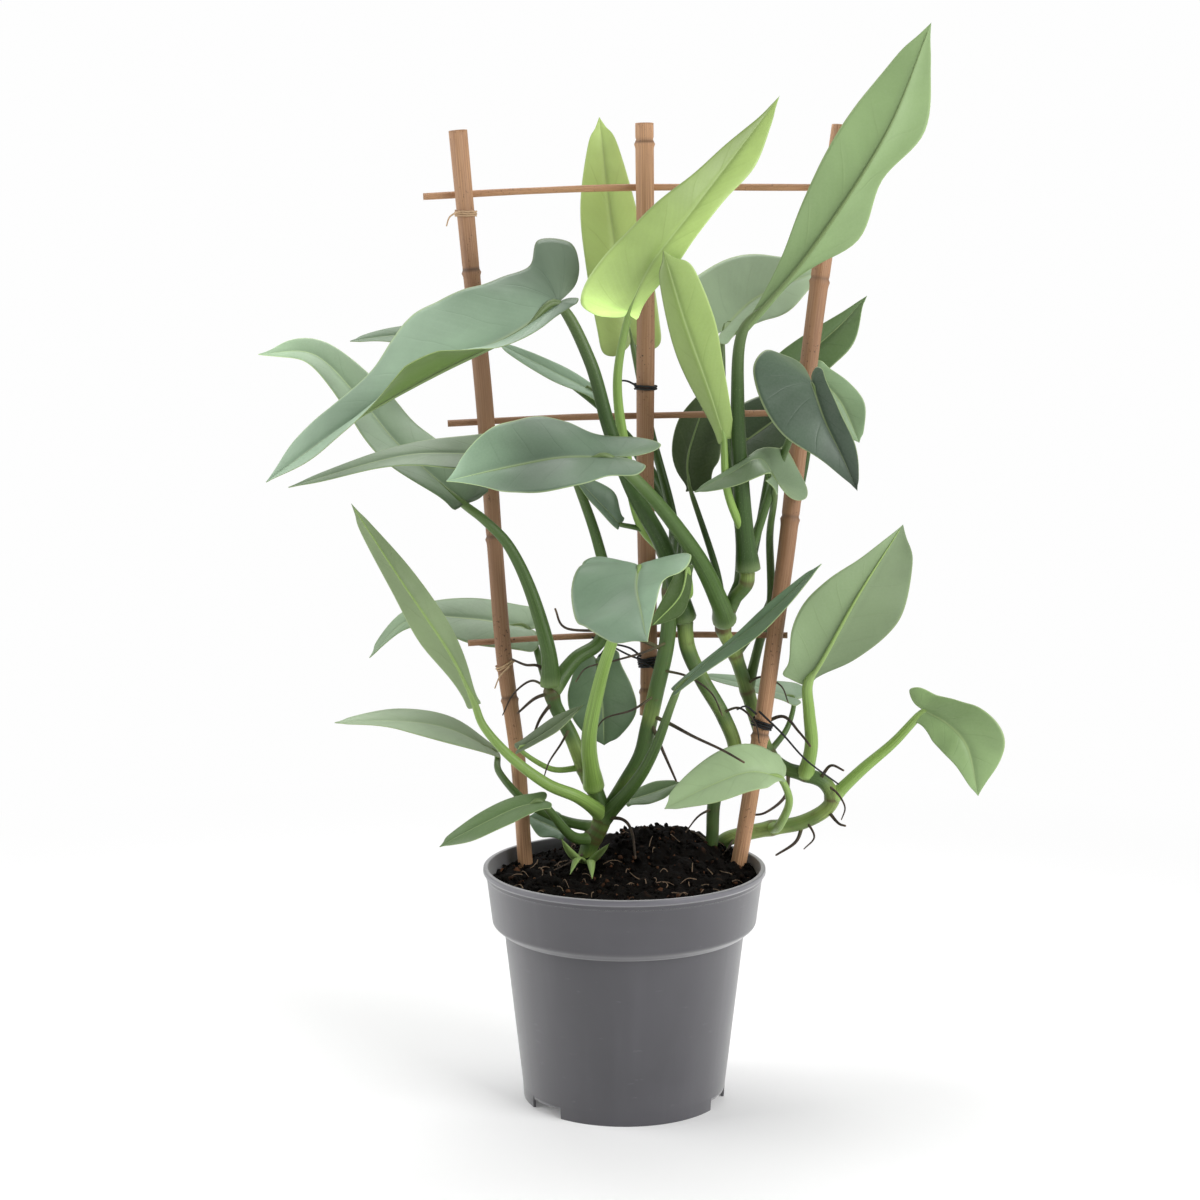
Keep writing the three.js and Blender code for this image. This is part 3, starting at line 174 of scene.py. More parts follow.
# Leaves. The stalk leaves its stem at the point number "at" and passes the points of
# "stalk". "turn" is how far the upper face turns from the front about the rib, at the
# base, the middle and the tip, or once for all three. Each half has the reach of its
# lobe, its fold in degrees given in the same way, and its half widths from base to tip.
# Where a lobe has a neck, the widths of both follow. "face" and "back" are the colours
# of the two sides. Where a leaf has them, "halves" is how bright its left and right
# halves are beside those colours, and "ends" how bright its base and its tip are: partly
# the leaf's own tone and partly painted light and shade, such as a lobe that turns away
# from the light painted darker.
LEAVES = {
    "leaf_top_right": {
        "stem": "stem_right", "at": 17.8, "stalk": [(61, 0, 321), (58, -8, 373)], "radii": (5.4, 2.8),
        "rib": [(60, -14, 408), (93, -25, 448), (131, -21, 507), (155, -4, 564)], "turn": (184, 180, 176),
        "left": (3, (8, 10, 8), (2, 3, 17, 10, 17, 8)), "right": (3, (12, 10, 8), (3, 10, 18, 22, 20, 11)),
        "face": "#6d8a62", "back": "#87a26b", "tone": "dark",
    },
    "leaf_back_right": {
        "stem": "stem_right", "at": 17.2, "stalk": [(61, 32, 307), (54, 54, 360)], "radii": (3, 1.8),
        "rib": [(53, 62, 408), (69, 64, 424), (87, 62, 433), (105, 58, 440)], "turn": -30,
        "left": (12, 6, (35, 31, 21, 9)), "right": (6, 6, (8, 15, 18, 8)),
        "face": "#a3b999", "back": "#7b9064", "tone": "dark",
    },
    "leaf_centre_lime": {
        "stem": "stem_centre", "at": 7.8, "stalk": [(8, 4, 310), (0, -4, 347), (-4, -16, 384)],
        "radii": (3.6, 2),
        "rib": [(2, -24, 419), (13, -30, 442), (35, -31, 471), (78, -12, 527)], "turn": 0,
        "left": (8, (10, 14, 10), (26, 20, 17, 11, 7, 2)),
        "right": (2, (12, 16, 12), (6, 11, 10, 10, 12, 6)),
        "face": "#a9c46f", "back": "#a5c070", "tone": "light", "halves": (0.85, 1.3), "ends": (2.8, 0.68),
    },
    "leaf_back_lime": {
        "stem": "stem_centre", "at": 7.2, "stalk": [(26, 44, 306), (14, 56, 354)], "radii": (3, 1.8),
        "rib": [(3, 58, 406), (-7, 60, 465), (-14, 56, 522)], "turn": 0,
        "left": (10, 12, (18, 18, 16, 8)), "right": (10, 12, (17, 17, 14, 8)),
        "face": "#bcd67f", "back": "#9dba6c", "tone": "dark", "ends": (0.7, 1.1),
    },
    "leaf_rolled_young": {
        "stem": "leaf_top_right", "at": 0.5, "stalk": [(53, -8, 327)], "radii": (2.4, 1.8),
        "rib": [(51, -6, 355), (43, -14, 379), (30, -28, 414), (19, -40, 449)], "turn": 10,
        "left": (3, (25, 25, 30), (5, 10, 12, 8)), "right": (3, (15, 15, 20), (7, 11, 15, 12)),
        "face": "#96b060", "back": "#93b060", "tone": "light", "halves": (0.6, 1.2),
    },
    "leaf_left_big": {
        "stem": "stem_middle_right", "at": 8.9,
        "stalk": [(21, 2, 294), (4, -12, 327), (-8, -22, 359), (-18, -28, 394)], "radii": (5.2, 3),
        "rib": [(-34, -30, 423), (-57, -44, 407), (-95, -54, 388), (-137, -60, 364), (-180, -50, 334)],
        "turn": (30, 55, 50),
        "left": (9, (10, 58, 5), (8, 11, 16, 26, 33, 36, 36, 29, 20, 14, 8), 9, 8),
        "right": (30, (10, 10, 25), (31, 34, 38, 41, 42, 34, 24, 18, 14, 12, 9), 36, 26),
        "face": "#9fbb9d", "back": "#617e34", "tone": "dark", "ends": (0.42, 1.0),
    },
    "leaf_far_left": {
        "stem": "stem_left", "at": 7.9,
        "stalk": [(-41, 11, 240), (-50, 12, 271), (-61, 9, 295), (-73, 4, 309)], "radii": (4.6, 2.2),
        "rib": [(-85, 4, 319), (-121, 28, 348), (-142, 46, 370), (-170, 62, 395), (-202, 72, 395)],
        "turn": 45,
        "left": (2, 10, (9, 17, 16, 13, 10, 6)), "right": (3, (6, 10, 10), (17, 19, 17, 15, 12, 8)),
        "face": "#829a7a", "back": "#6f8f4d", "tone": "mid", "ends": (0.36, 2.1),
    },
    "leaf_left_mid": {
        "stem": "stem_left", "at": 7.7,
        "stalk": [(-27, 22, 233), (-13, 28, 243), (-9, 27, 268), (-15, 20, 298), (-25, 12, 328)],
        "radii": (4.2, 2.2),
        "rib": [(-33, 10, 349), (-76, 4, 345), (-117, -6, 344), (-175, -8, 328)], "turn": (65, 61, 55),
        "left": (10, 10, (20, 22, 20, 14, 9, 4)), "right": (12, 5, (19, 17, 13, 10, 7, 4)),
        "face": "#738769", "back": "#76905a", "tone": "mid",
    },
    "leaf_centre_silver": {
        "stem": "stem_right", "at": 15.3, "stalk": [(50, 8, 266), (38, -5, 291), (16, -24, 322)],
        "radii": (5.4, 3),
        "rib": [(-7, -40, 346), (-32, -46, 346), (-58, -42, 341), (-91, -30, 333)], "turn": (60, 52, 40),
        "left": (15, 8, (19, 27, 29, 21, 11, 4)), "right": (28, 8, (16, 25, 30, 29, 26, 13)),
        "face": "#6b826b", "back": "#728d5a", "tone": "mid", "ends": (1.0, 2.4),
    },
    "leaf_heart_front": {
        "stem": "stem_left", "at": 4.3,
        "stalk": [(-19, -4, 194), (-14, -16, 223), (-8, -30, 246), (0, -40, 269)], "radii": (4.8, 2.4),
        "rib": [(7, -44, 291), (6, -66, 283), (8, -88, 275), (11, -108, 262)], "turn": 11,
        "left": (5, 10, (27, 19, 11, 3)), "right": (6, 6, (29, 33, 31, 18)),
        "face": "#84a084", "back": "#728d5a", "tone": "light", "halves": (1.35, 0.95),
    },
    "leaf_behind_heart": {
        "stem": "stem_centre", "at": 6.5, "stalk": [(34, -4, 271)], "radii": (1.8, 1.2),
        "rib": [(32, -16, 287), (28, -22, 273), (14, -25, 258)], "turn": 160,
        "left": (3, 20, (5, 7, 6, 3)), "right": (3, 20, (5, 7, 9, 4)),
        "face": "#6f9148", "back": "#3b5419", "tone": "light",
    },
    "leaf_right_dark": {
        "stem": "stem_right", "at": 15.8, "stalk": [(68, 16, 296), (80, 10, 335), (91, 1, 366)],
        "radii": (2.8, 1.8),
        "rib": [(97, -4, 382), (103, -14, 363), (112, -18, 344), (120, -14, 327)], "turn": (-10, -6, 0),
        "left": (7, (35, 40, 30), (8, 10, 10, 4)), "right": (22, 12, (31, 25, 12, 3)),
        "face": "#4c614c", "back": "#6f8c58", "tone": "mid", "ends": (1.0, 0.35),
    },
    "leaf_right_olive": {
        "stem": "stem_right", "at": 14, "stalk": [(80, 50, 262), (98, 56, 332)], "radii": (2.4, 1.5),
        "rib": [(104, 56, 384), (117, 54, 370), (127, 48, 348)], "turn": 0,
        "left": (6, 10, (8, 10, 11, 5)), "right": (10, 10, (14, 15, 12, 5)),
        "face": "#8aa67c", "back": "#6c8850", "tone": "dark",
    },
    "leaf_right_upper": {
        "stem": "stem_right", "at": 15, "stalk": [(69, 48, 283), (81, 63, 343)], "radii": (2.6, 1.5),
        "rib": [(91, 66, 387), (104, 66, 399), (119, 62, 413), (131, 58, 427)], "turn": -20,
        "left": (8, 20, (11, 9, 6, 2)), "right": (8, 8, (14, 15, 13, 3)),
        "face": "#5c7748", "back": "#6c8850", "tone": "dark",
    },
    "leaf_small_pale": {
        "stem": "stem_right", "at": 13,
        "stalk": [(73, 42, 238), (79, 37, 262), (78, 34, 298), (79, 14, 320)], "radii": (2.8, 1.7),
        "rib": [(79, 0, 331), (70, -7, 343), (55, -12, 336), (36, -12, 326)], "turn": (60, 56, 50),
        "left": (3, 8, (10, 17, 13, 5)), "right": (24, 10, (21, 5, 3, 2)),
        "face": "#778e69", "back": "#7d9a5c", "tone": "mid",
    },
    "leaf_right_big": {
        "stem": "stem_right", "at": 9, "stalk": [(101, 26, 186), (99, 19, 205)], "radii": (4.2, 2.8),
        "rib": [(98, 16, 221), (107, 10, 238), (123, 4, 270), (147, 12, 307)], "turn": (185, 183, 180),
        "left": (2, 10, (3, 15, 24, 27, 24, 15)), "right": (3, 10, (15, 22, 23, 18, 10, 4)),
        "face": "#819a78", "back": "#849a70", "tone": "light", "halves": (0.76, 1.22),
    },
    "leaf_right_low": {
        "stem": "stem_right", "at": 7, "stalk": [(130, 38, 170), (147, 38, 185)], "radii": (3.6, 2.2),
        "rib": [(163, 36, 203), (175, 28, 197), (185, 22, 185), (191, 20, 159)], "turn": (0, 4, 10),
        "left": (12, (10, 8, 8), (11, 14, 19, 21, 15, 6)), "right": (3, 8, (8, 12, 13, 12, 8, 4)),
        "face": "#8daa70", "back": "#7f9a5c", "tone": "light",
    },
    "leaf_right_narrow": {
        "stem": "stem_left", "at": 3, "stalk": [(5, 6, 168), (16, -2, 189)], "radii": (4.2, 2),
        "rib": [(27, -10, 222), (47, -14, 241), (73, -16, 262), (102, -14, 289)], "turn": -62,
        "left": (2, 15, (3, 2, 5, 3)), "right": (2, 15, (5, 14, 17, 5)),
        "face": "#6c8967", "back": "#6f8c55", "tone": "mid", "ends": (0.45, 0.95),
    },
    "leaf_low_pale": {
        "stem": "stem_right", "at": 4, "stalk": [(84, 26, 141), (88, 6, 159)], "radii": (2.8, 1.8),
        "rib": [(83, -4, 174), (66, -14, 179), (45, -20, 173), (21, -22, 161)], "turn": (60, 56, 50),
        "left": (1, 10, (4, 17, 16, 6)), "right": (5, 10, (15, 18, 16, 8)),
        "face": "#a1ba8b", "back": "#85a062", "tone": "light",
    },
    "leaf_left_upright": {
        "stem": "stem_left", "at": 3.2,
        "stalk": [(-25, 2, 162), (-41, -3, 170), (-60, -6, 185), (-74, -6, 201)], "radii": (4, 2),
        "rib": [(-79, -4, 214), (-91, -10, 241), (-117, -12, 281), (-143, -2, 319)], "turn": 180,
        "left": (2, 25, (3, 8, 8, 3)), "right": (3, 25, (6, 12, 9, 5)),
        "face": "#8aa07a", "back": "#899e70", "tone": "light",
    },
    "leaf_left_flat": {
        "stem": "stem_left", "at": 2.6, "stalk": [(-33, 24, 144), (-53, 16, 156), (-68, 27, 170)],
        "radii": (3, 1.7),
        "rib": [(-70, 42, 178), (-95, 36, 192), (-122, 28, 198), (-156, 18, 199)], "turn": 75,
        "left": (1, 8, (8, 21, 17, 6)), "right": (1, 8, (6, 11, 12, 6)),
        "face": "#9eb290", "back": "#7f985c", "tone": "mid",
    },
    "leaf_left_behind": {
        "stem": "stem_left", "at": 7.4, "stalk": [(-44, 36, 222)], "radii": (2.4, 1.6),
        "rib": [(-53, 56, 245), (-85, 58, 250), (-118, 54, 250), (-140, 46, 230)], "turn": 65,
        "left": (8, -10, (18, 20, 9, 2)), "right": (8, 8, (17, 18, 12, 6)),
        "face": "#869e7c", "back": "#6c8a4c", "tone": "mid",
    },
    "leaf_low_dark": {
        "stem": "stem_left", "at": 4.6, "stalk": [(-18, 32, 193)], "radii": (2.2, 1.5),
        "rib": [(-15, 27, 231), (-12, 24, 208), (-11, 28, 185)], "turn": 0,
        "left": (6, 4, (13, 17, 18, 9)), "right": (6, 4, (13, 18, 17, 9)),
        "face": "#627c5a", "back": "#65804e", "tone": "dark",
    },
    "leaf_small_folded": {
        "stem": "stem_left", "at": 5, "stalk": [(-39, 12, 175)], "radii": (1.8, 1.2),
        "rib": [(-56, 2, 188), (-40, -4, 199), (-22, -6, 213)], "turn": -55,
        "left": (2, 20, (4, 5, 5, 2)), "right": (2, 20, (4, 7, 7, 3)),
        "face": "#61744e", "back": "#697856", "tone": "light",
    },
    "leaf_low_left": {
        "stem": "stem_left", "at": 2.1, "stalk": [(-29, 11, 139)], "radii": (3.4, 1.9),
        "rib": [(-44, 0, 160), (-58, -4, 157), (-76, -8, 149), (-98, -8, 137)], "turn": 55,
        "left": (4, 14, (8, 13, 12, 4)), "right": (4, 10, (6, 8, 7, 4)),
        "face": "#607a4a", "back": "#6c8a4c", "tone": "mid",
    },
    "leaf_soil_dark": {
        "stem": "stem_left", "at": 2.3, "stalk": [(-27, 34, 133)], "radii": (1.7, 1.2),
        "rib": [(-34, 40, 134), (-42, 44, 137), (-53, 48, 141)], "turn": 40,
        "left": (3, 10, (6, 9, 8, 4)), "right": (3, 10, (6, 9, 8, 4)),
        "face": "#688468", "back": "#65804e", "tone": "mid",
    },
    "leaf_soil_green": {
        "stem": "stem_left", "at": 3.4, "stalk": [(-6, 30, 150)], "radii": (1.7, 1.2),
        "rib": [(2, 35, 153), (14, 38, 156), (31, 40, 162)], "turn": -50,
        "left": (2, 10, (5, 6, 6, 3)), "right": (2, 10, (5, 8, 7, 3)),
        "face": "#587048", "back": "#65804e", "tone": "mid",
    },
    "leaf_back_narrow": {
        "stem": "stem_centre", "at": 6.6, "stalk": [(28, 48, 295), (11, 62, 332)], "radii": (2.4, 1.4),
        "rib": [(-16, 64, 374), (-36, 68, 384), (-70, 70, 401)], "turn": 40,
        "left": (4, 10, (5, 7, 6, 3)), "right": (4, 10, (4, 6, 5, 3)),
        "face": "#99b49a", "back": "#6c8a4c", "tone": "dark",
    },
    "leaf_back_left": {
        "stem": "stem_centre", "at": 6.2, "stalk": [(34, 56, 283), (8, 84, 342), (-42, 92, 386)],
        "radii": (2.4, 1.4),
        "rib": [(-81, 88, 405), (-126, 90, 405), (-153, 86, 402)], "turn": 60,
        "left": (6, 10, (12, 14, 11, 5)), "right": (6, 10, (8, 10, 8, 4)),
        "face": "#7d9776", "back": "#6c8a4c", "tone": "dark",
    },
    # Painted shade: its back, the side seen from the front, is coloured as dark as the deep shade between
    # the stalks.
    "leaf_back_centre": {
        "stem": "stem_right", "at": 15.1, "stalk": [(50, 47, 278)], "radii": (2.4, 1.5),
        "rib": [(36, 56, 322), (35, 60, 341), (47, 56, 379)], "turn": 170,
        "left": (2, 10, (12, 17, 14, 6)), "right": (1, 10, (3, 10, 11, 5)),
        "face": "#66834f", "back": "#40532b", "tone": "dark",
    },
    # Painted shade: its face is coloured as dark as the deep shade between the stalks.
    "leaf_back_dark": {
        "stem": "stem_right", "at": 15, "stalk": [(62, 56, 272), (63, 65, 315)], "radii": (2.4, 1.5),
        "rib": [(64, 66, 346), (82, 67, 359), (102, 64, 375)], "turn": -35,
        "left": (8, 8, (16, 19, 15, 6)), "right": (8, 8, (15, 18, 15, 6)),
        "face": "#34462c", "back": "#56703e", "tone": "dark",
    },
    "leaf_under_silver": {
        "stem": "stem_centre", "at": 7.7, "stalk": [(11, 5, 304)], "radii": (1.9, 1.3),
        "rib": [(-3, 4, 308), (-11, 0, 317), (-27, -2, 334)], "turn": 40,
        "left": (1, 8, (4, 4, 4, 2)), "right": (1, 8, (5, 10, 9, 4)),
        "face": "#768d76", "back": "#5f7a48", "tone": "mid",
    },
    "leaf_behind_cane": {
        "stem": "stem_right", "at": 11, "stalk": [(90, 54, 190)], "radii": (1.9, 1.3),
        "rib": [(94, 58, 206), (70, 63, 212), (43, 62, 218)], "turn": 75,
        "left": (5, 8, (12, 13, 10, 4)), "right": (6, 8, (14, 12, 8, 4)),
        "face": "#8aa384", "back": "#728d5a", "tone": "mid",
    },
}

# The pot's turned outline as radius, height and the rounding of each corner.
POT_OUTLINE = [
    (0, 0, 0), (12, 0, 0.5), (12, 5.6, 0.5), (52.6, 5.6, 0.4), (52.6, 0, 0.3), (54.1, 0, 0.3),
    (54.5, 7.2, 0.5), (64.2, 91.4, 0.8), (66.4, 92, 0.6), (70.4, 95.5, 1.2), (73.4, 119.6, 0.5),
    (73.9, 120.4, 0.3), (74, 122, 0.5), (75.4, 123, 0.5), (75.2, 125.4, 0.7), (72.6, 125.5, 0.7),
    (72.1, 122.5, 0.8), (68.9, 95.5, 1.5), (62.7, 90.5, 1.5), (53, 7.2, 1), (0, 7.2, 0),
]
NOTCH_ANGLES = (-50, 70, 190)
NOTCH_HALF_ANGLE = 12.2
NOTCH_HEIGHT = 5
# Half the width of a notch's steep side, in degrees.
NOTCH_SIDE = 0.15
# The foot's skirt lies outside this radius, and the lip's painted highlight past these two.
SKIRT_RADIUS = 45
LIP_RADIUS = 72.8
LIP_HEIGHT = 122.4
LIP_HIGHLIGHT = 0.55
POT_STEP = 2.5

# Soil: its height at the wall, and the mound behind the middle.
SOIL_EDGE = 117
SOIL_MOUND = 20
SOIL_MOUND_X = 18
SOIL_MOUND_Y = 37
SOIL_MOUND_WIDTH = 44
SOIL_MOUND_DEPTH = 29
SOIL_LUMPS = 1.1
# The fill up to its surface as radius and height, and how finely its surface is cut.
SOIL_WALL = [(0.3, 7.5), (52.7, 7.5), (62.2, 90.5), (68.4, 95.5), (70.6, 110)]
SOIL_RIM = 71.2
SOIL_RINGS = 70
SOIL_SIDES = 144
# Ripples of the surface: height, shortest and longest wave, and how many waves.
SOIL_RIPPLES = [(0.7, 4, 9, 9), (0.9, 10, 24, 6)]
# How far from the middle a fibre may start, and how far it may reach.
FIBRE_START = 62
FIBRE_EDGE = 69


def light(code):
    """The linear values of a colour written as #rrggbb."""
    parts = [int(code[i : i + 2], 16) / 255 for i in (1, 3, 5)]
    return tuple(((c + 0.055) / 1.055) ** 2.4 if c > 0.04045 else c / 12.92 for c in parts)


def length(name, description, millimetres):
    return FloatProperty(name=name, description=description, default=millimetres * MM, min=0,
                         unit="LENGTH", subtype="DISTANCE")


def tint(name, description, code):
    return FloatVectorProperty(name=name, description=description, default=light(code), min=0, max=1,
                               subtype="COLOR")


class PlantSizes(PropertyGroup):
    """Sizes of the plant that a user would change."""

    blade: length("Blade", "Thickness of a leaf between its veins", 0.6)
    blade_edge: length("Blade edge", "Thickness of a leaf along its edge", 0.3)
    edge_wave: length("Edge wave", "How far the edge of a leaf waves to either side", 0.9)
    vein_depth: length("Vein depth", "How deep the side veins lie in the upper face", 0.14)
    bar_radius: length("Bar radius", "Radius of the bamboo cross bars", 1.7)
    knot_rise: length("Knot rise", "How far a bamboo knot stands proud of its cane", 0.7)
    wire_radius: length("Wire radius", "Radius of the black tie wire", 0.62)
    twine_radius: length("Twine radius", "Radius of the twine", 0.5)
    root_base: length("Root base", "Radius of an aerial root where it leaves its stem", 1.15)
    root_tip: length("Root tip", "Radius of an aerial root near its end", 0.55)
    crumbs: IntProperty(name="Crumbs", description="Number of crumbs on the soil", default=2600, min=0)
    crumb: length("Crumb", "Radius of a large crumb of soil", 1.9)
    fibres: IntProperty(name="Fibres", description="Number of pale fibres on the soil", default=70, min=0)


class PlantColours(PropertyGroup):
    """Colours of the plant that a user would change."""

    pot: tint("Pot", "Grey of the moulded pot", "#454449")
    # The worn grey is also brightened into the painted highlight along the lip.
    pot_worn_and_lit: tint("Pot worn", "Lighter grey where the pot is rubbed", "#605f65")
    peat: tint("Peat", "Damp peat", "#0b0705")
    peat_dry: tint("Dry peat", "Dry crumbs of peat", "#5e3f2c")
    fibre: tint("Fibre", "Pale roots and fibres on the soil", "#7d6650")
    bamboo: tint("Bamboo", "Bamboo in the light", "#cfa37c")
    bamboo_dark: tint("Bamboo dark", "Darker streaks of bamboo", "#a0724e")
    knot: tint("Knot", "Scars and specks on bamboo", "#3a2418")
    wire: tint("Wire", "Black tie wire", "#121114")
    twine: tint("Twine", "Twine", "#c9a884")
    stem: tint("Stem", "Old stem", "#4d6b2f")
    stem_young: tint("Young stem", "Young yellow-green stem", "#8fa553")
    scar: tint("Scar", "Brown rings where leaves have grown", "#5c4a2c")
    # The three stalk colours are partly the stalks' own greens and partly painted shade: the dark one goes
    # on stalks that stand deep in the plant.
    stalk_dark: tint("Dark stalk", "Dark leaf stalk", "#36511e")
    stalk_mid: tint("Middle stalk", "Leaf stalk of middle tone", "#4c6731")
    stalk_light: tint("Light stalk", "Pale leaf stalk", "#86a653")
    root: tint("Root", "Old aerial root", "#33291f")
    root_young: tint("Young root", "Young aerial root", "#6d6f45")
    vein: tint("Vein", "Pale rib and veins of a leaf", "#b6c98f")
    floor: tint("Floor", "Pale studio floor", "#f2f2f2")


# How many steps measure the length of a curve.
SPLITS = 200


class Curve:
    """A smooth curve through points, read by its length from 0 to 1."""

    def __init__(self, points):
        points = np.asarray(points, float)
        self.last = len(points) - 1
        ends = 2 * points[[0, -1]] - points[[1, -2]]
        self.points = np.vstack([ends[:1], points, ends[1:]])
        samples = self.through(np.linspace(0, 1, SPLITS + 1))
        steps = np.linalg.norm(np.diff(samples, axis=0), axis=1)
        self.travelled = np.concatenate([[0], np.cumsum(steps)])
        self.length = self.travelled[-1]

    def through(self, t):
        """Places where t runs evenly from one point to the next."""
        place = np.clip(t, 0, 1) * self.last
        low = np.minimum(place.astype(int), self.last - 1)
        u = (place - low)[..., None]
        before, start, end, after = (self.points[low + k] for k in range(4))
        leave, arrive = (end - before) / 2, (after - start) / 2
        bend = (2 * u**3 - 3 * u**2 + 1) * start + (3 * u**2 - 2 * u**3) * end
        return bend + (u**3 - 2 * u**2 + u) * leave + (u**3 - u**2) * arrive

    def at(self, share):
        """Places by their share of the length."""
        even = np.linspace(0, 1, SPLITS + 1)
        return self.through(np.interp(np.asarray(share, float) * self.length, self.travelled, even))

    def share_of(self, number):
        """The share of the length at which a point of the list lies."""
        travelled = np.interp(number / self.last * SPLITS, np.arange(SPLITS + 1), self.travelled)
        return travelled / self.length


def unit(vectors):
    return vectors / np.maximum(np.linalg.norm(vectors, axis=-1, keepdims=True), 1e-12)


def smooth(value, low, high):
    """Rises smoothly from 0 at low to 1 at high."""
    t = np.clip((value - low) / (high - low), 0, 1)
    return t * t * (3 - 2 * t)


def bell(value, width):
    """Falls smoothly from 1 at 0 towards 0 past the width, to both sides."""
    return np.exp(-((value / width) ** 2))


def grid_faces(rows, columns, closed=False):
    """Four-cornered faces between the points of a grid, joined round if it is closed."""
    index = np.arange(rows * columns).reshape(rows, columns)
    if closed:
        index = np.hstack([index, index[:, :1]])
    corners = [index[:-1, :-1], index[:-1, 1:], index[1:, 1:], index[1:, :-1]]
    return np.stack(corners, axis=-1).reshape(-1, 4).tolist()


# Corners closer than this, in metres, are one.
MERGE_DISTANCE = 1e-6


class Clay:
    """A piece while it is shaped: corners, faces, finishes and two painted values.

    "place" says where a corner lies on what grew, and "mark" how strongly it is marked.
    """

    def __init__(self):
        self.corners = []
        self.places = []
        self.marks = []
        self.faces = []
        self.finishes = []
        self.count = 0

    def add(self, corners, faces, places=0.0, marks=0.0, finish=0):
        corners = np.asarray(corners, float).reshape(-1, 3)
        self.corners.append(corners)
        self.places.append(np.broadcast_to(places, corners.shape))
        self.marks.append(np.broadcast_to(marks, len(corners)))
        self.faces += [[self.count + corner for corner in face] for face in faces]
        self.finishes += [finish] * len(faces)
        self.count += len(corners)

    def piece(self, name, materials, node, merge=False):
        """The piece as an object on the model's only body, standing for a node."""
        mesh = bpy.data.meshes.new(name)
        mesh.from_pydata((np.vstack(self.corners) * MM).tolist(), [], self.faces)
        place = mesh.attributes.new("place", "FLOAT_VECTOR", "POINT")
        place.data.foreach_set("vector", np.vstack(self.places).astype(np.float32).ravel())
        mark = mesh.attributes.new("mark", "FLOAT", "POINT")
        mark.data.foreach_set("value", np.concatenate(self.marks).astype(np.float32))
        for material in materials:
            mesh.materials.append(material)
        mesh.polygons.foreach_set("material_index", self.finishes)
        work = bmesh.new()
        work.from_mesh(mesh)
        if merge:
            bmesh.ops.remove_doubles(work, verts=work.verts, dist=MERGE_DISTANCE)
        bmesh.ops.recalc_face_normals(work, faces=work.faces)
        work.to_mesh(mesh)
        work.free()
        mesh.polygons.foreach_set("use_smooth", [True] * len(mesh.polygons))
        made = bpy.data.objects.new(name, mesh)
        bpy.context.scene.collection.objects.link(made)
        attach(made, "root")
        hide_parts(node)
        return made


def carried(tangents):
    """Directions square to a curve that turn as little as they can along it."""
    first = np.array([0.0, 0.0, 1.0]) if abs(tangents[0][0]) > 0.8 else np.array([1.0, 0.0, 0.0])
    normals = []
    for tangent in tangents:
        first = unit(first - tangent * (first @ tangent))
        normals.append(first)
    return np.array(normals)


# The round end of a tube: its reach in radii, its steps, and its radius at the very end.
END_REACH = 0.9
END_STEPS = np.array([0, 0.1, 0.35, 1])
END_RADIUS = 0.02
# How far to either side a curve's direction is read, as a share of its length.
NUDGE = 0.002


def tube(clay, curve, radius_at, sides, steps, finish=0, mark_at=None, round_ends=True):
    """A round tube along a curve. The radius is a function of the share of the length and
    of the angle round the tube, and its marks are a function of that share."""
    stops = np.linspace(0, 1, steps + 1)
    shrink = np.ones(steps + 1)
    if round_ends:
        reach = END_REACH * float(np.mean(radius_at(np.array([[1.0]]), np.array([[0.0]])))) / curve.length
        between = stops[(stops > 1.2 * reach) & (stops < 1 - 1.2 * reach)]
        stops = np.concatenate([END_STEPS * reach, between, 1 - END_STEPS[::-1] * reach])
        shrink = np.ones(len(stops))
        shrink[:4] = shrink[-4:][::-1] = np.sqrt(1 - (1 - END_STEPS) ** 2)
        shrink[0] = shrink[-1] = END_RADIUS
    centres = curve.at(stops)
    tangents = unit(curve.at(np.minimum(stops + NUDGE, 1)) - curve.at(np.maximum(stops - NUDGE, 0)))
    normals = carried(tangents)
    across = np.cross(tangents, normals)
    angles = np.linspace(0, 2 * math.pi, sides, endpoint=False)
    cos, sin = np.cos(angles)[None, :, None], np.sin(angles)[None, :, None]
    out = normals[:, None] * cos + across[:, None] * sin
    radii = np.broadcast_to(radius_at(stops[:, None], angles[None, :]), (len(stops), sides))
    corners = centres[:, None] + out * (radii * shrink[:, None])[..., None]
    travelled = stops[:, None] * curve.length / 100
    places = np.stack(np.broadcast_arrays(cos[..., 0], sin[..., 0], travelled), axis=-1)
    marks = stops if mark_at is None else mark_at(stops)
    marks = np.broadcast_to(marks[:, None], radii.shape).ravel()
    faces = grid_faces(len(stops), sides, closed=True)
    total = len(stops) * sides
    faces += [list(range(sides))[::-1], list(range(total - sides, total))]
    clay.add(corners, faces, places.reshape(-1, 3), marks, finish)


def tapered(start, end):
    """A radius that changes evenly from start to end."""
    return lambda t, angle: start + (end - start) * t + 0 * angle


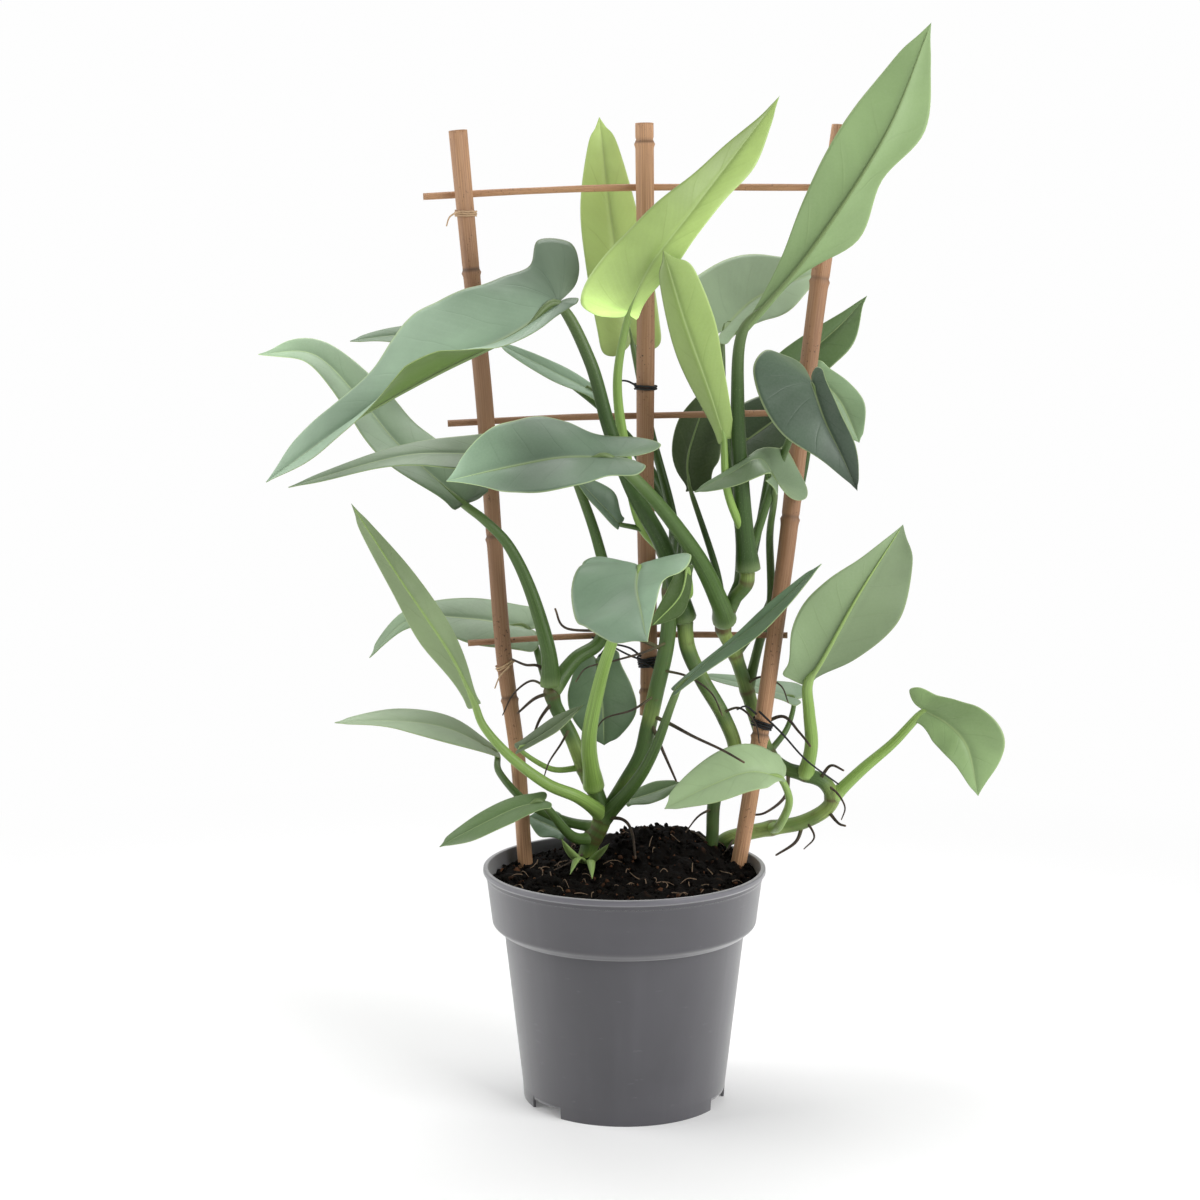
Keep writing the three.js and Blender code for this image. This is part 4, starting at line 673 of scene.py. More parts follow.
class Paint:
    """Lays out the nodes of one material."""

    def __init__(self, name):
        self.material = bpy.data.materials.new(name)
        self.material.use_nodes = True
        self.tree = self.material.node_tree
        self.shader = self.tree.nodes["Principled BSDF"]
        place = self.node("ShaderNodeAttribute", attribute_name="place")
        split = self.node("ShaderNodeSeparateXYZ")
        self.tree.links.new(place.outputs["Vector"], split.inputs[0])
        self.place = place.outputs["Vector"]
        self.x, self.y, self.z = split.outputs
        self.mark = self.node("ShaderNodeAttribute", attribute_name="mark").outputs["Fac"]
        self.solid = self.node("ShaderNodeTexCoord").outputs["Object"]

    def node(self, kind, **settings):
        made = self.tree.nodes.new(kind)
        for name, value in settings.items():
            setattr(made, name, value)
        return made

    def feed(self, socket, value):
        """Links a value to a socket, or sets it there if it is a plain one."""
        if isinstance(value, bpy.types.NodeSocket):
            self.tree.links.new(value, socket)
        elif socket.type == "RGBA" and len(value) == 3:
            socket.default_value = (*value, 1)
        else:
            socket.default_value = value

    def math(self, operation, first, second=0.0):
        made = self.node("ShaderNodeMath", operation=operation)
        self.feed(made.inputs[0], first)
        self.feed(made.inputs[1], second)
        return made.outputs[0]

    def times(self, first, second):
        return self.math("MULTIPLY", first, second)

    def plus(self, first, second):
        return self.math("ADD", first, second)

    def noise(self, scale, detail=3.0, vector=None, stretch=None, distortion=0.0):
        vector = self.solid if vector is None else vector
        if stretch:
            mapping = self.node("ShaderNodeMapping")
            self.feed(mapping.inputs["Vector"], vector)
            mapping.inputs["Scale"].default_value = stretch
            vector = mapping.outputs[0]
        made = self.node("ShaderNodeTexNoise")
        self.feed(made.inputs["Vector"], vector)
        made.inputs["Scale"].default_value = scale
        made.inputs["Detail"].default_value = detail
        made.inputs["Distortion"].default_value = distortion
        return made.outputs["Fac"]

    def ramp(self, value, low, high, start=0.0, end=1.0):
        """A value that goes smoothly from start at low to end at high."""
        made = self.node("ShaderNodeMapRange", interpolation_type="SMOOTHSTEP")
        self.feed(made.inputs["Value"], value)
        for name, number in (("From Min", low), ("From Max", high), ("To Min", start), ("To Max", end)):
            made.inputs[name].default_value = number
        return made.outputs["Result"]

    def mix(self, amount, first, second, blend="MIX"):
        made = self.node("ShaderNodeMix", data_type="RGBA", blend_type=blend)
        self.feed(made.inputs[0], amount)
        self.feed(made.inputs[6], first)
        self.feed(made.inputs[7], second)
        return made.outputs[2]

    def lines(self, value, count, sharpness):
        """Thin lines, evenly spaced along a value that runs from 0 to 1."""
        wave = self.math("SINE", self.times(value, math.pi * count))
        return self.math("POWER", self.math("SUBTRACT", 1.0, self.math("ABSOLUTE", wave)), sharpness)

    def finish(self, colour, roughness, height=None, depth=0.0002, strength=0.5, **constants):
        """Joins colour, roughness and relief to the shader and sets its constants."""
        self.feed(self.shader.inputs["Base Color"], colour)
        self.feed(self.shader.inputs["Roughness"], roughness)
        for name, value in constants.items():
            self.shader.inputs[name.replace("_", " ")].default_value = value
        if height is not None:
            bump = self.node("ShaderNodeBump")
            bump.inputs["Strength"].default_value = strength
            bump.inputs["Distance"].default_value = depth
            self.feed(bump.inputs["Height"], height)
            self.feed(self.shader.inputs["Normal"], bump.outputs[0])
        return self.material


def scaled(colour, factor):
    """A colour made darker or brighter."""
    return tuple(min(part * factor, 1) for part in colour)


def toward(colour, other, share):
    """A colour mixed with another."""
    return tuple(a + (b - a) * share for a, b in zip(colour, other))


# The side veins of a half, and how far they sweep towards the tip.
SIDE_VEINS = 12
VEIN_SWEEP = 0.05


def leaf_material(name, colour, vein, upper, halves, ends):
    """Waxy leaf skin: mottling, a rib, side veins and a thin pale edge."""
    paint = Paint(name)
    away = paint.math("ABSOLUTE", paint.x)
    wander = paint.times(paint.noise(24, 2), 0.06)
    along = paint.plus(paint.math("SUBTRACT", paint.y, paint.times(away, VEIN_SWEEP)), wander)
    inside = paint.times(paint.ramp(away, 0.02, 0.2), paint.ramp(away, 0.6, 1.0, 1.0, 0.1))
    inside = paint.times(inside, paint.ramp(paint.y, 0.7, 0.86, 1.0, 0.0))
    veins = paint.times(paint.lines(along, SIDE_VEINS, 14.0), inside)
    fine = paint.times(paint.lines(along, SIDE_VEINS * 5, 2.0), inside)
    clouds = paint.ramp(paint.noise(20, 4, distortion=0.5), 0.3, 0.7)
    specks = paint.noise(900, 2)
    base = paint.mix(clouds, scaled(colour, 0.8 if upper else 0.86), scaled(colour, 1.1))
    # Partly the leaf's own tone, partly painted light and shade: brightness along the blade from "ends" and
    # across it from "halves".
    base_tone = paint.ramp(paint.y, 0.25, 0.55, ends[0], 1.0)
    along_tone = paint.times(base_tone, paint.ramp(paint.y, 0.6, 0.9, 1.0, ends[1]))
    tone = paint.times(along_tone, paint.ramp(paint.x, -0.2, 0.2, *halves))
    base = paint.mix(paint.ramp(paint.y, 0.0, 0.4, 0.35, 0.0), base, toward(colour, vein, 0.6))
    # Painted shade: the blade is darker towards the rib, where its halves fold into a crease.
    base = paint.mix(paint.ramp(away, 0.0, 0.3, 0.3, 0.0), base, scaled(colour, 0.7))
    base = paint.mix(paint.times(specks, 0.14), base, toward(colour, (1, 1, 1), 0.3))
    base = paint.mix(paint.times(fine, 0.08), base, scaled(colour, 1.25))
    line = scaled(colour, 0.7) if upper else toward(scaled(colour, 0.7), vein, 0.2)
    base = paint.mix(paint.times(veins, 0.3), base, line)
    rib = toward(colour, vein, 0.75) if upper else scaled(colour, 0.55)
    base = paint.mix(paint.ramp(away, 0.012, 0.045, 0.6, 0.0), base, rib)
    base = paint.mix(paint.ramp(away, 0.96, 0.99, 0.0, 0.6), base, toward(colour, vein, 0.8))
    base = paint.mix(1.0, base, tone, blend="MULTIPLY")
    relief = paint.plus(paint.times(paint.noise(150, 3), 0.12), paint.times(veins, -0.7 if upper else 0.7))
    roughness = paint.ramp(paint.noise(60, 2), 0.2, 0.8, 0.36 if upper else 0.48, 0.5 if upper else 0.62)
    return paint.finish(base, roughness, relief, depth=0.00025, strength=0.5,
                        Specular_IOR_Level=0.32, Coat_Weight=0.08 if upper else 0.02, Coat_Roughness=0.34,
                        Sheen_Weight=0.03, Sheen_Roughness=0.4)


def stalk_material(name, colour, vein):
    """Leaf stalk: fine lengthwise streaks, paler towards the blade."""
    paint = Paint(name)
    streaks = paint.noise(5, 4, vector=paint.place, stretch=(3.0, 3.0, 0.5))
    specks = paint.noise(1500, 1)
    base = paint.mix(paint.ramp(streaks, 0.3, 0.7), scaled(colour, 0.72), scaled(colour, 1.2))
    base = paint.mix(paint.ramp(paint.mark, 0.6, 1.05, 0.0, 0.55), base, toward(colour, vein, 0.5))
    base = paint.mix(paint.ramp(paint.z, 0.0, 0.08, 0.6, 0.0), base, toward(scaled(colour, 1.4), vein, 0.4))
    base = paint.mix(paint.ramp(specks, 0.6, 0.8, 0.0, 0.2), base, toward(colour, vein, 0.7))
    return paint.finish(base, paint.ramp(streaks, 0.2, 0.8, 0.34, 0.5), streaks, depth=0.0003, strength=0.35,
                        Specular_IOR_Level=0.35, Coat_Weight=0.06, Coat_Roughness=0.3)


def stem_material(colours):
    """Climbing stem: green and yellow-green internodes, brown scars at the nodes."""
    paint = Paint("vine stem")
    streaks = paint.noise(5, 5, vector=paint.place, stretch=(2.5, 2.5, 0.8))
    patches = paint.ramp(paint.noise(28, 2), 0.42, 0.62)
    base = paint.mix(patches, colours.stem, colours.stem_young)
    base = paint.mix(paint.ramp(streaks, 0.3, 0.75, 0.0, 0.5), base, scaled(colours.stem, 0.55))
    grit = paint.ramp(paint.noise(350, 3), 0.55, 0.75)
    scars = paint.times(paint.mark, paint.ramp(paint.noise(260, 3), 0.25, 0.6, 0.4, 1.0))
    base = paint.mix(scars, base, colours.scar)
    base = paint.mix(paint.times(grit, 0.3), base, colours.scar)
    relief = paint.plus(streaks, paint.times(grit, 0.4))
    return paint.finish(base, paint.ramp(streaks, 0.2, 0.8, 0.42, 0.6), relief, depth=0.0004, strength=0.5,
                        Coat_Weight=0.06, Coat_Roughness=0.35)


def root_material(colours):
    """Aerial root: woody brown with a greener, paler end."""
    paint = Paint("aerial root")
    rough = paint.noise(420, 4)
    base = paint.mix(paint.ramp(rough, 0.35, 0.7), colours.root, scaled(colours.root, 2.2))
    base = paint.mix(paint.ramp(paint.mark, 0.0, 0.35, 0.55, 0.0), base, colours.root_young)
    base = paint.mix(paint.ramp(paint.mark, 0.93, 1.0, 0.0, 0.6), base, colours.fibre)
    return paint.finish(base, 0.75, rough, depth=0.0005, strength=0.6)


# Between which heights the painted shade on the canes, a darker stretch in their middle, sets in and fades,
# in metres.
CANE_SHADE_START = (0.17, 0.25)
CANE_SHADE_END = (0.41, 0.5)


def bamboo_material(name, colours, brightness):
    """Dry bamboo: long grain, darker streaks and specks, scarred knots."""
    paint = Paint(name)
    grain = paint.noise(4, 6, vector=paint.place, stretch=(4.0, 4.0, 0.7))
    fine = paint.noise(14, 4, vector=paint.place, stretch=(4.0, 4.0, 0.25))
    dark, pale = scaled(colours.bamboo_dark, brightness), scaled(colours.bamboo, brightness)
    base = paint.mix(paint.ramp(grain, 0.3, 0.7), dark, pale)
    base = paint.mix(paint.ramp(fine, 0.55, 0.75, 0.0, 0.5), base, scaled(dark, 0.6))
    height = paint.node("ShaderNodeSeparateXYZ")
    paint.feed(height.inputs[0], paint.solid)
    height = height.outputs["Z"]
    # Painted shade: the canes are darkened over their middle heights, where the leaves shade them.
    cane_shade = paint.times(paint.ramp(height, *CANE_SHADE_START), paint.ramp(height, *CANE_SHADE_END, 0.65, 0.0))
    base = paint.mix(cane_shade, base, scaled(colours.bamboo_dark, 0.5))
    blotches = paint.ramp(paint.noise(35, 2), 0.45, 0.7)
    specks = paint.ramp(paint.noise(700, 3), 0.6, 0.72)
    base = paint.mix(paint.times(specks, blotches), base, colours.knot)
    base = paint.mix(paint.times(paint.mark, 0.75), base, colours.knot)
    relief = paint.plus(grain, paint.times(fine, 0.6))
    return paint.finish(base, paint.ramp(grain, 0.2, 0.8, 0.4, 0.6), relief, depth=0.0004, strength=0.5)


def pot_material(colours):
    """Moulded grey plastic: faint upright draw marks, dust, rubbed patches and a painted highlight along the
    lip.
    """
    paint = Paint("nursery pot plastic")
    grain = paint.noise(2600, 2)
    draw = paint.noise(60, 3, stretch=(1.0, 1.0, 0.06))
    clouds = paint.ramp(paint.noise(14, 4, distortion=0.6), 0.35, 0.75)
    base = paint.mix(paint.times(clouds, 0.3), colours.pot, colours.pot_worn_and_lit)
    base = paint.mix(paint.ramp(draw, 0.5, 0.8, 0.0, 0.22), base, colours.pot_worn_and_lit)
    scuffs = paint.ramp(paint.noise(90, 5, stretch=(1.0, 1.0, 4.0)), 0.66, 0.74, 0.0, 0.35)
    base = paint.mix(scuffs, base, scaled(colours.pot_worn_and_lit, 1.35))
    # Painted highlight: where the mark is set, along the top of the rolled lip, the grey is lightened.
    base = paint.mix(paint.mark, base, scaled(colours.pot_worn_and_lit, 1.7))
    relief = paint.plus(paint.times(grain, 0.6), paint.times(draw, 0.5))
    return paint.finish(base, paint.ramp(clouds, 0.0, 1.0, 0.38, 0.5), relief, depth=0.00012, strength=0.5,
                        Sheen_Weight=0.65, Sheen_Roughness=0.5)


def peat_material(colours):
    """Damp crumbly peat, drier on some crumbs."""
    paint = Paint("peat")
    rough = paint.noise(500, 6)
    base = paint.mix(paint.ramp(rough, 0.35, 0.7), scaled(colours.peat, 0.6), scaled(colours.peat, 1.6))
    base = paint.mix(paint.ramp(paint.mark, 0.6, 1.0, 0.0, 0.9), base, colours.peat_dry)
    return paint.finish(base, paint.ramp(rough, 0.3, 0.7, 0.7, 1.0), rough, depth=0.0012, strength=0.9,
                        Specular_IOR_Level=0.12)


def plain_fibre(name, colour):
    """Twisted fibre or coated wire: fine slanted strands."""
    paint = Paint(name)
    strands = paint.noise(9, 3, vector=paint.place, stretch=(2.0, 2.0, 9.0))
    base = paint.mix(paint.ramp(strands, 0.3, 0.7), scaled(colour, 0.6), scaled(colour, 1.25))
    return paint.finish(base, 0.6, strands, depth=0.0003, strength=0.5)


# Steps of a rounded corner, and how far before and after it a point keeps the flat flat,
# as a part of its rounding.
CORNER_STEPS = 5
CORNER_MARGIN = 0.35


def turned(points, angles):
    """Turns of a rounded outline: each corner gets an arc, with a point close before and
    after it that keeps the flats flat."""
    outline = []
    for index, (radius, height, rounding) in enumerate(points):
        here = np.array([radius, height], float)
        if rounding == 0:
            outline.append(here)
            continue
        back = np.array(points[index - 1][:2], float) - here
        ahead = np.array(points[index + 1][:2], float) - here
        start, end = here + unit(back) * rounding, here + unit(ahead) * rounding
        outline.append(start + unit(back) * CORNER_MARGIN * rounding)
        for t in np.linspace(0, 1, CORNER_STEPS):
            outline.append((1 - t) ** 2 * start + 2 * t * (1 - t) * here + t**2 * end)
        outline.append(end + unit(ahead) * CORNER_MARGIN * rounding)
    outline = np.array(outline)
    radii, heights = outline[:, 0][:, None], outline[:, 1][:, None]
    x, y = radii * np.sin(angles), -radii * np.cos(angles)
    return np.stack(np.broadcast_arrays(x, y, heights), axis=-1), outline


class PLANT_OT_turn_pot(Operator):
    """Turn the nursery pot with its rolled lip, collar and notched foot"""

    bl_idname = "plant.turn_pot"
    bl_label = "Turn the pot"

    def execute(self, context):
        colours = context.scene.plant_colours
        even = np.radians(np.arange(0, 360, POT_STEP))
        beside = [math.radians(centre + side * (NOTCH_HALF_ANGLE + step) + 360) % (2 * math.pi)
                  for centre in NOTCH_ANGLES for side in (-1, 1) for step in (-NOTCH_SIDE, NOTCH_SIDE)]
        angles = np.sort(np.concatenate([even, beside]))
        corners, outline = turned(POT_OUTLINE, angles)
        turn = [np.abs((np.degrees(angles) - centre + 180) % 360 - 180) for centre in NOTCH_ANGLES]
        open_here = (np.min(turn, axis=0) < NOTCH_HALF_ANGLE)[None, :]
        skirt = (outline[:, 0] > SKIRT_RADIUS)[:, None] & (corners[..., 2] < NOTCH_HEIGHT)
        corners[..., 2] = np.where(skirt & open_here, NOTCH_HEIGHT, corners[..., 2])
        # Painted highlight along the top of the lip, carried as the mark.
        lit_lip = np.where((outline[:, 1] > LIP_HEIGHT) & (outline[:, 0] > LIP_RADIUS), LIP_HIGHLIGHT, 0.0)
        marks = np.broadcast_to(lit_lip[:, None], corners.shape[:2]).ravel()
        clay = Clay()
        clay.add(corners, grid_faces(len(outline), len(angles), closed=True), marks=marks)
        clay.piece("nursery_pot", [pot_material(colours)], "pot", merge=True)
        return {"FINISHED"}


def soil_top(x, y):
    """Height of the soil's surface: a mound with low lumps."""
    away = np.hypot((x - SOIL_MOUND_X) / SOIL_MOUND_WIDTH, (y - SOIL_MOUND_Y) / SOIL_MOUND_DEPTH)
    lumps = np.sin(x * 0.31 + 1.2) * np.cos(y * 0.27) + 0.6 * np.sin(x * 0.13 - y * 0.41)
    return SOIL_EDGE + SOIL_MOUND * np.exp(-away * away) + SOIL_LUMPS * lumps


def ripples(x, y, draws, shortest, longest, waves):
    """Gentle random waves over the plane, between about -1 and 1."""
    total = 0
    for _ in range(waves):
        angle, phase = draws.uniform(0, 2 * math.pi, 2)
        size = draws.uniform(shortest, longest)
        total = total + np.sin(2 * math.pi * (x * math.cos(angle) + y * math.sin(angle)) / size + phase)
    return total / math.sqrt(waves)


def ball():
    """Corners and faces of a ball with twenty faces."""
    work = bmesh.new()
    bmesh.ops.create_icosphere(work, subdivisions=1, radius=1)
    corners = np.array([corner.co for corner in work.verts])
    faces = [[corner.index for corner in face.verts] for face in work.faces]
    work.free()
    return corners, faces


def pour_peat(clay, draws):
    """The fill with its underside, its side and its uneven surface."""
    angles = np.linspace(0, 2 * math.pi, SOIL_SIDES, endpoint=False)[None, :]
    radii = np.linspace(SOIL_RIM, 0.3, SOIL_RINGS)[:, None]
    x, y = radii * np.cos(angles), radii * np.sin(angles)
    even = soil_top(x, y)
    z = even
    for height, shortest, longest, waves in SOIL_RIPPLES:
        z = z + height * ripples(x, y, draws, shortest, longest, waves)
    side = np.array(SOIL_WALL)
    under, heights = side[:, :1], np.broadcast_to(side[:, 1:], (len(side), SOIL_SIDES))
    wall = np.stack([under * np.cos(angles), under * np.sin(angles), heights], axis=-1)
    corners = np.concatenate([wall, np.stack([x, y, z], axis=-1)])
    dryness = np.clip(0.3 + 0.2 * (z - even), 0, 1)
    marks = np.concatenate([np.zeros(heights.size), dryness.ravel()])
    count = len(corners)
    faces = grid_faces(count, SOIL_SIDES, closed=True)
    faces += [list(range(SOIL_SIDES)), list(range((count - 1) * SOIL_SIDES, count * SOIL_SIDES))]
    clay.add(corners, faces, marks=marks)


def scatter_crumbs(clay, draws, count, radius):
    """Crumbs of peat, most of them small and a few of them dry."""
    shape, faces = ball()
    for _ in range(count):
        away, around = SOIL_RIM * math.sqrt(draws.uniform(0, 0.96)), draws.uniform(0, 2 * math.pi)
        size = radius * draws.uniform(0.2, 1) ** 2.2
        turn = np.linalg.qr(draws.normal(size=(3, 3)))[0]
        lump = shape * draws.uniform(0.6, 1.3, (len(shape), 1))
        lump = lump * draws.uniform(0.5, 1.2, 3) @ turn * size
        x, y = away * math.cos(around), away * math.sin(around)
        lump = lump + [x, y, float(soil_top(x, y)) + 0.4 * size]
        clay.add(lump, faces, marks=draws.uniform() ** 2.2)


def scatter_fibres(clay, draws, count):
    """Pale fibres that lie on the peat in low bows."""
    for _ in range(count):
        away, around = FIBRE_START * math.sqrt(draws.uniform(0, 1)), draws.uniform(0, 2 * math.pi)
        heading, bend = draws.uniform(0, 2 * math.pi), draws.uniform(-0.7, 0.7)
        reach = draws.uniform(3, 11)
        points = []
        for step in np.linspace(0, 1, 5):
            x = away * math.cos(around) + reach * step * math.cos(heading + bend * step)
            y = away * math.sin(around) + reach * step * math.sin(heading + bend * step)
            points.append((x, y, float(soil_top(x, y)) + 0.9 + 1.2 * math.sin(math.pi * step)))
        if max(math.hypot(x, y) for x, y, _ in points) < FIBRE_EDGE:
            tube(clay, Curve(points), tapered(0.34, 0.16), 5, 8, finish=1)


class PLANT_OT_fill_soil(Operator):
    """Fill the pot with peat, and scatter crumbs and pale fibres on it"""

    bl_idname = "plant.fill_soil"
    bl_label = "Fill the soil"

    def execute(self, context):
        sizes, colours = context.scene.plant_sizes, context.scene.plant_colours
        draws = np.random.default_rng(7)
        clay = Clay()
        pour_peat(clay, draws)
        scatter_crumbs(clay, draws, sizes.crumbs, sizes.crumb / MM)
        scatter_fibres(clay, draws, sizes.fibres)
        materials = [peat_material(colours), plain_fibre("soil fibre", colours.fibre)]
        clay.piece("peat_fill", materials, "soil")
        return {"FINISHED"}


# A knot's ridge, the groove above it and the scar between them: places and half widths.
RIDGE_WIDTH = 1.1
GROOVE_PLACE = 2.6
GROOVE_WIDTH = 0.7
GROOVE_DEPTH = 0.55
SCAR_PLACE = 1.6
SCAR_WIDTH = 0.8
# How bright each cane is, from left to right, and the cross bars.
CANE_BRIGHTNESS = (0.92, 1.05, 1.05)
BAR_BRIGHTNESS = 1.15


class PLANT_OT_cut_canes(Operator):
    """Cut the three bamboo canes, with their knots"""

    bl_idname = "plant.cut_canes"
    bl_label = "Cut the canes"

    def execute(self, context):
        sizes, colours = context.scene.plant_sizes, context.scene.plant_colours
        rise = sizes.knot_rise / MM
        for number, (node, cane) in enumerate(CANES.items()):
            curve = Curve(cane["points"])
            knots = np.array([curve.share_of(knot) for knot in cane["knots"]]) * curve.length
            foot, top = cane["radii"]

            def gaps(t):
                return (t * curve.length)[..., None] - knots

            def radius_at(t, angle):
                near = gaps(t)
                ridge = bell(near, RIDGE_WIDTH).sum(-1)
                ridge = ridge - GROOVE_DEPTH * bell(near - GROOVE_PLACE, GROOVE_WIDTH).sum(-1)
                waist = 0.12 * np.cos(2 * math.pi * t * 3 + number)
                oval = 0.1 * np.cos(2 * angle + number) + 0.05 * np.cos(3 * angle + 5 * t)
                return foot + (top - foot) * t + rise * ridge + waist + oval

            def mark_at(t):
                return np.clip(bell(gaps(t) - SCAR_PLACE, SCAR_WIDTH).sum(-1), 0, 1)

            clay = Clay()
            tube(clay, curve, radius_at, 28, 260, mark_at=mark_at, round_ends=False)
            material = bamboo_material(node.replace("_", " "), colours, CANE_BRIGHTNESS[number])
            clay.piece(f"bamboo_{node}", [material], node)
        return {"FINISHED"}


class PLANT_OT_lay_bars(Operator):
    """Lay the three thin cross bars behind the canes"""

    bl_idname = "plant.lay_bars"
    bl_label = "Lay the cross bars"

    def execute(self, context):
        sizes, colours = context.scene.plant_sizes, context.scene.plant_colours
        radius = sizes.bar_radius / MM
        material = bamboo_material("split bamboo", colours, BAR_BRIGHTNESS)
        for number, (node, points) in enumerate(BARS.items()):
            clay = Clay()

            def radius_at(t, angle):
                return radius * (1 + 0.06 * np.cos(2 * angle + number) + 0.04 * np.sin(17 * t + number))

            tube(clay, Curve(points), radius_at, 14, 80, mark_at=lambda t: 0 * t, round_ends=False)
            clay.piece(f"bamboo_{node}", [material], node)
        return {"FINISHED"}


# Steps in a turn of a tie, how far apart its turns lie in strand radii, and its air.
TIE_STEPS = 14
TIE_PITCH = 2.1
TIE_AIR = 0.25


class PLANT_OT_wind_ties(Operator):
    """Wind the wire and twine ties round the canes"""

    bl_idname = "plant.wind_ties"
    bl_label = "Wind the ties"

    def execute(self, context):
        sizes, colours = context.scene.plant_sizes, context.scene.plant_colours
        draws = np.random.default_rng(3)
        materials = {
            "tie_wire": plain_fibre("tie wire", colours.wire),
            "twine": plain_fibre("twine", colours.twine),
        }
        for node, tie in TIES.items():
            cane = CANES[tie["cane"]]
            curve = Curve(cane["points"])
            share = curve.share_of(tie["at"])
            axis = unit(curve.at(share + 0.01) - curve.at(share - 0.01))
            tilt = math.radians(tie["tilt"])
            axis = unit(axis * math.cos(tilt) + np.cross([0, 1, 0], axis) * math.sin(tilt))
            side = unit(np.cross(axis, [0, 1, 0]))
            back = np.cross(axis, side)
            strand = (sizes.wire_radius if tie["slot"] == "tie_wire" else sizes.twine_radius) / MM
            foot, top = cane["radii"]
            radius = foot + (top - foot) * share + strand + TIE_AIR
            centre = curve.at(share)
            points = []
            steps = TIE_STEPS * tie["turns"]
            for step in range(steps + 1):
                angle = 2 * math.pi * step / TIE_STEPS
                climb = (step / steps - 0.5) * TIE_PITCH * strand * tie["turns"]
                spread = radius + draws.uniform(0, 0.35)
                around = side * math.cos(angle) + back * math.sin(angle)
                points.append(centre + around * spread + axis * (climb + draws.uniform(-0.2, 0.2)))
            clay = Clay()
            tube(clay, Curve(points), tapered(strand, strand), 8, 9 * len(points))
            for end in tie["ends"]:
                tube(clay, Curve(end), tapered(strand, 0.7 * strand), 8, 30)
            clay.piece(f"wound_{node}", [materials[tie["slot"]]], node)
        return {"FINISHED"}


# Thin roots on the stems, beside the thick ones.
THIN_ROOTS = {
    "stem_left": [
        [(-41, 13, 219), (-50, 18, 222), (-60, 22, 214), (-66, 24, 202)],
        [(-30, 12, 196), (-34, 4, 190), (-40, 2, 181), (-43, 4, 172)],
        [(-20, 22, 128), (-28, 14, 124), (-38, 10, 120)],
    ],
    "stem_centre": [
        [(22, 16, 243), (10, 2, 240), (-6, -2, 236), (-20, 0, 232), (-26, 2, 224)],
        [(16, 18, 214), (4, 8, 208), (-10, 6, 204), (-16, 8, 196)],
        [(20, 18, 228), (34, 8, 226), (46, 4, 218), (52, 2, 206)],
    ],
    "stem_middle_right": [
        [(52, 27, 203), (62, 20, 207), (70, 10, 200), (72, 8, 190)],
        [(48, 29, 150), (40, 22, 147), (33, 18, 139)],
    ],
    "stem_right": [
        [(109, 36, 163), (116, 32, 158), (120, 28, 151), (118, 27, 144)],
        [(78, 41, 179), (70, 34, 176), (64, 28, 168), (66, 26, 158)],
        [(60, 36, 131), (56, 28, 127), (50, 24, 122)],
        [(100, 40, 141), (104, 34, 133), (98, 30, 127)],
        [(65, 39, 216), (74, 32, 222), (84, 22, 219), (88, 18, 210)],
    ],
}

# Papery bits left round the foot of the left stem.
SHEATHS = [
    [(-21, 18, 121), (-25, 8, 127), (-29, -4, 121)],
    [(-20, 18, 121), (-18, 6, 126), (-17, -9, 120)],
    [(-20, 18, 121), (-13, 9, 130), (-8, 1, 137)],
    [(-22, 18, 121), (-29, 13, 129), (-34, 8, 138)],
]


def pointed(widest):
    """The cross section of a flat sheath that narrows to a point."""

    def radius_at(t, angle):
        width = widest * np.sin(math.pi * np.clip(0.25 + 0.75 * t, 0, 0.985))
        return width / np.sqrt(np.cos(angle) ** 2 + (np.sin(angle) / 0.22) ** 2)

    return radius_at


# A stem's nodes: how they swell, over what length, the most that it swells where nodes
# lie close, and the half width and strength of the brown ring.
NODE_SWELL = 0.5
NODE_REACH = 3
MOST_SWELL = 0.8
RING_REACH = 1.2
RING_STRENGTH = 0.85


class PLANT_OT_grow_stems(Operator):
    """Grow the four climbing stems with their nodes and aerial roots"""

    bl_idname = "plant.grow_stems"
    bl_label = "Grow the stems"

    def execute(self, context):
        sizes, colours = context.scene.plant_sizes, context.scene.plant_colours
        papery = stalk_material("papery sheath", colours.stalk_light, colours.vein)
        materials = [stem_material(colours), root_material(colours), papery]
        for node, stem in STEMS.items():
            curve = Curve(stem["points"])
            grown = [leaf["at"] for leaf in LEAVES.values() if leaf["stem"] == node]
            nodes = np.array([curve.share_of(at) for at in grown]) * curve.length
            base, top = stem["radii"]

            def near(t):
                return (t * curve.length)[..., None] - nodes

            def radius_at(t, angle):
                swell = np.minimum(NODE_SWELL * bell(near(t), NODE_REACH).sum(-1), MOST_SWELL)
                return base + (top - base) * t + swell + 0.08 * np.cos(3 * angle + 9 * t)

            def mark_at(t):
                return np.clip(RING_STRENGTH * bell(near(t), RING_REACH).sum(-1), 0, 1)

            clay = Clay()
            tube(clay, curve, radius_at, 20, int(curve.length), mark_at=mark_at)
            thick = tapered(sizes.root_base / MM, sizes.root_tip / MM)
            thin = tapered(0.7 * sizes.root_base / MM, 0.6 * sizes.root_tip / MM)
            for root in stem["roots"]:
                tube(clay, Curve(root), thick, 8, 40, finish=1)
            for root in THIN_ROOTS[node]:
                tube(clay, Curve(root), thin, 7, 40, finish=1)
            if node == "stem_left":
                for sheath in SHEATHS:
                    tube(clay, Curve(sheath), pointed(2.6), 12, 24, finish=2, mark_at=lambda t: 1 + 0 * t)
            clay.piece(node.replace("stem", "vine"), materials, node)
        return {"FINISHED"}


def blend(values, along):
    """Degrees given at the base, the middle and the tip of a rib, or once for all three,
    read along it in radians."""
    places = (0, MIDDLE_STATION, 1)
    values = np.broadcast_to(values, 3)
    total = 0
    for shift in (-0.1, 0, 0.1):
        total = total + np.interp(np.clip(along + shift, 0, 1), places, values)
    return np.radians(total / 3)


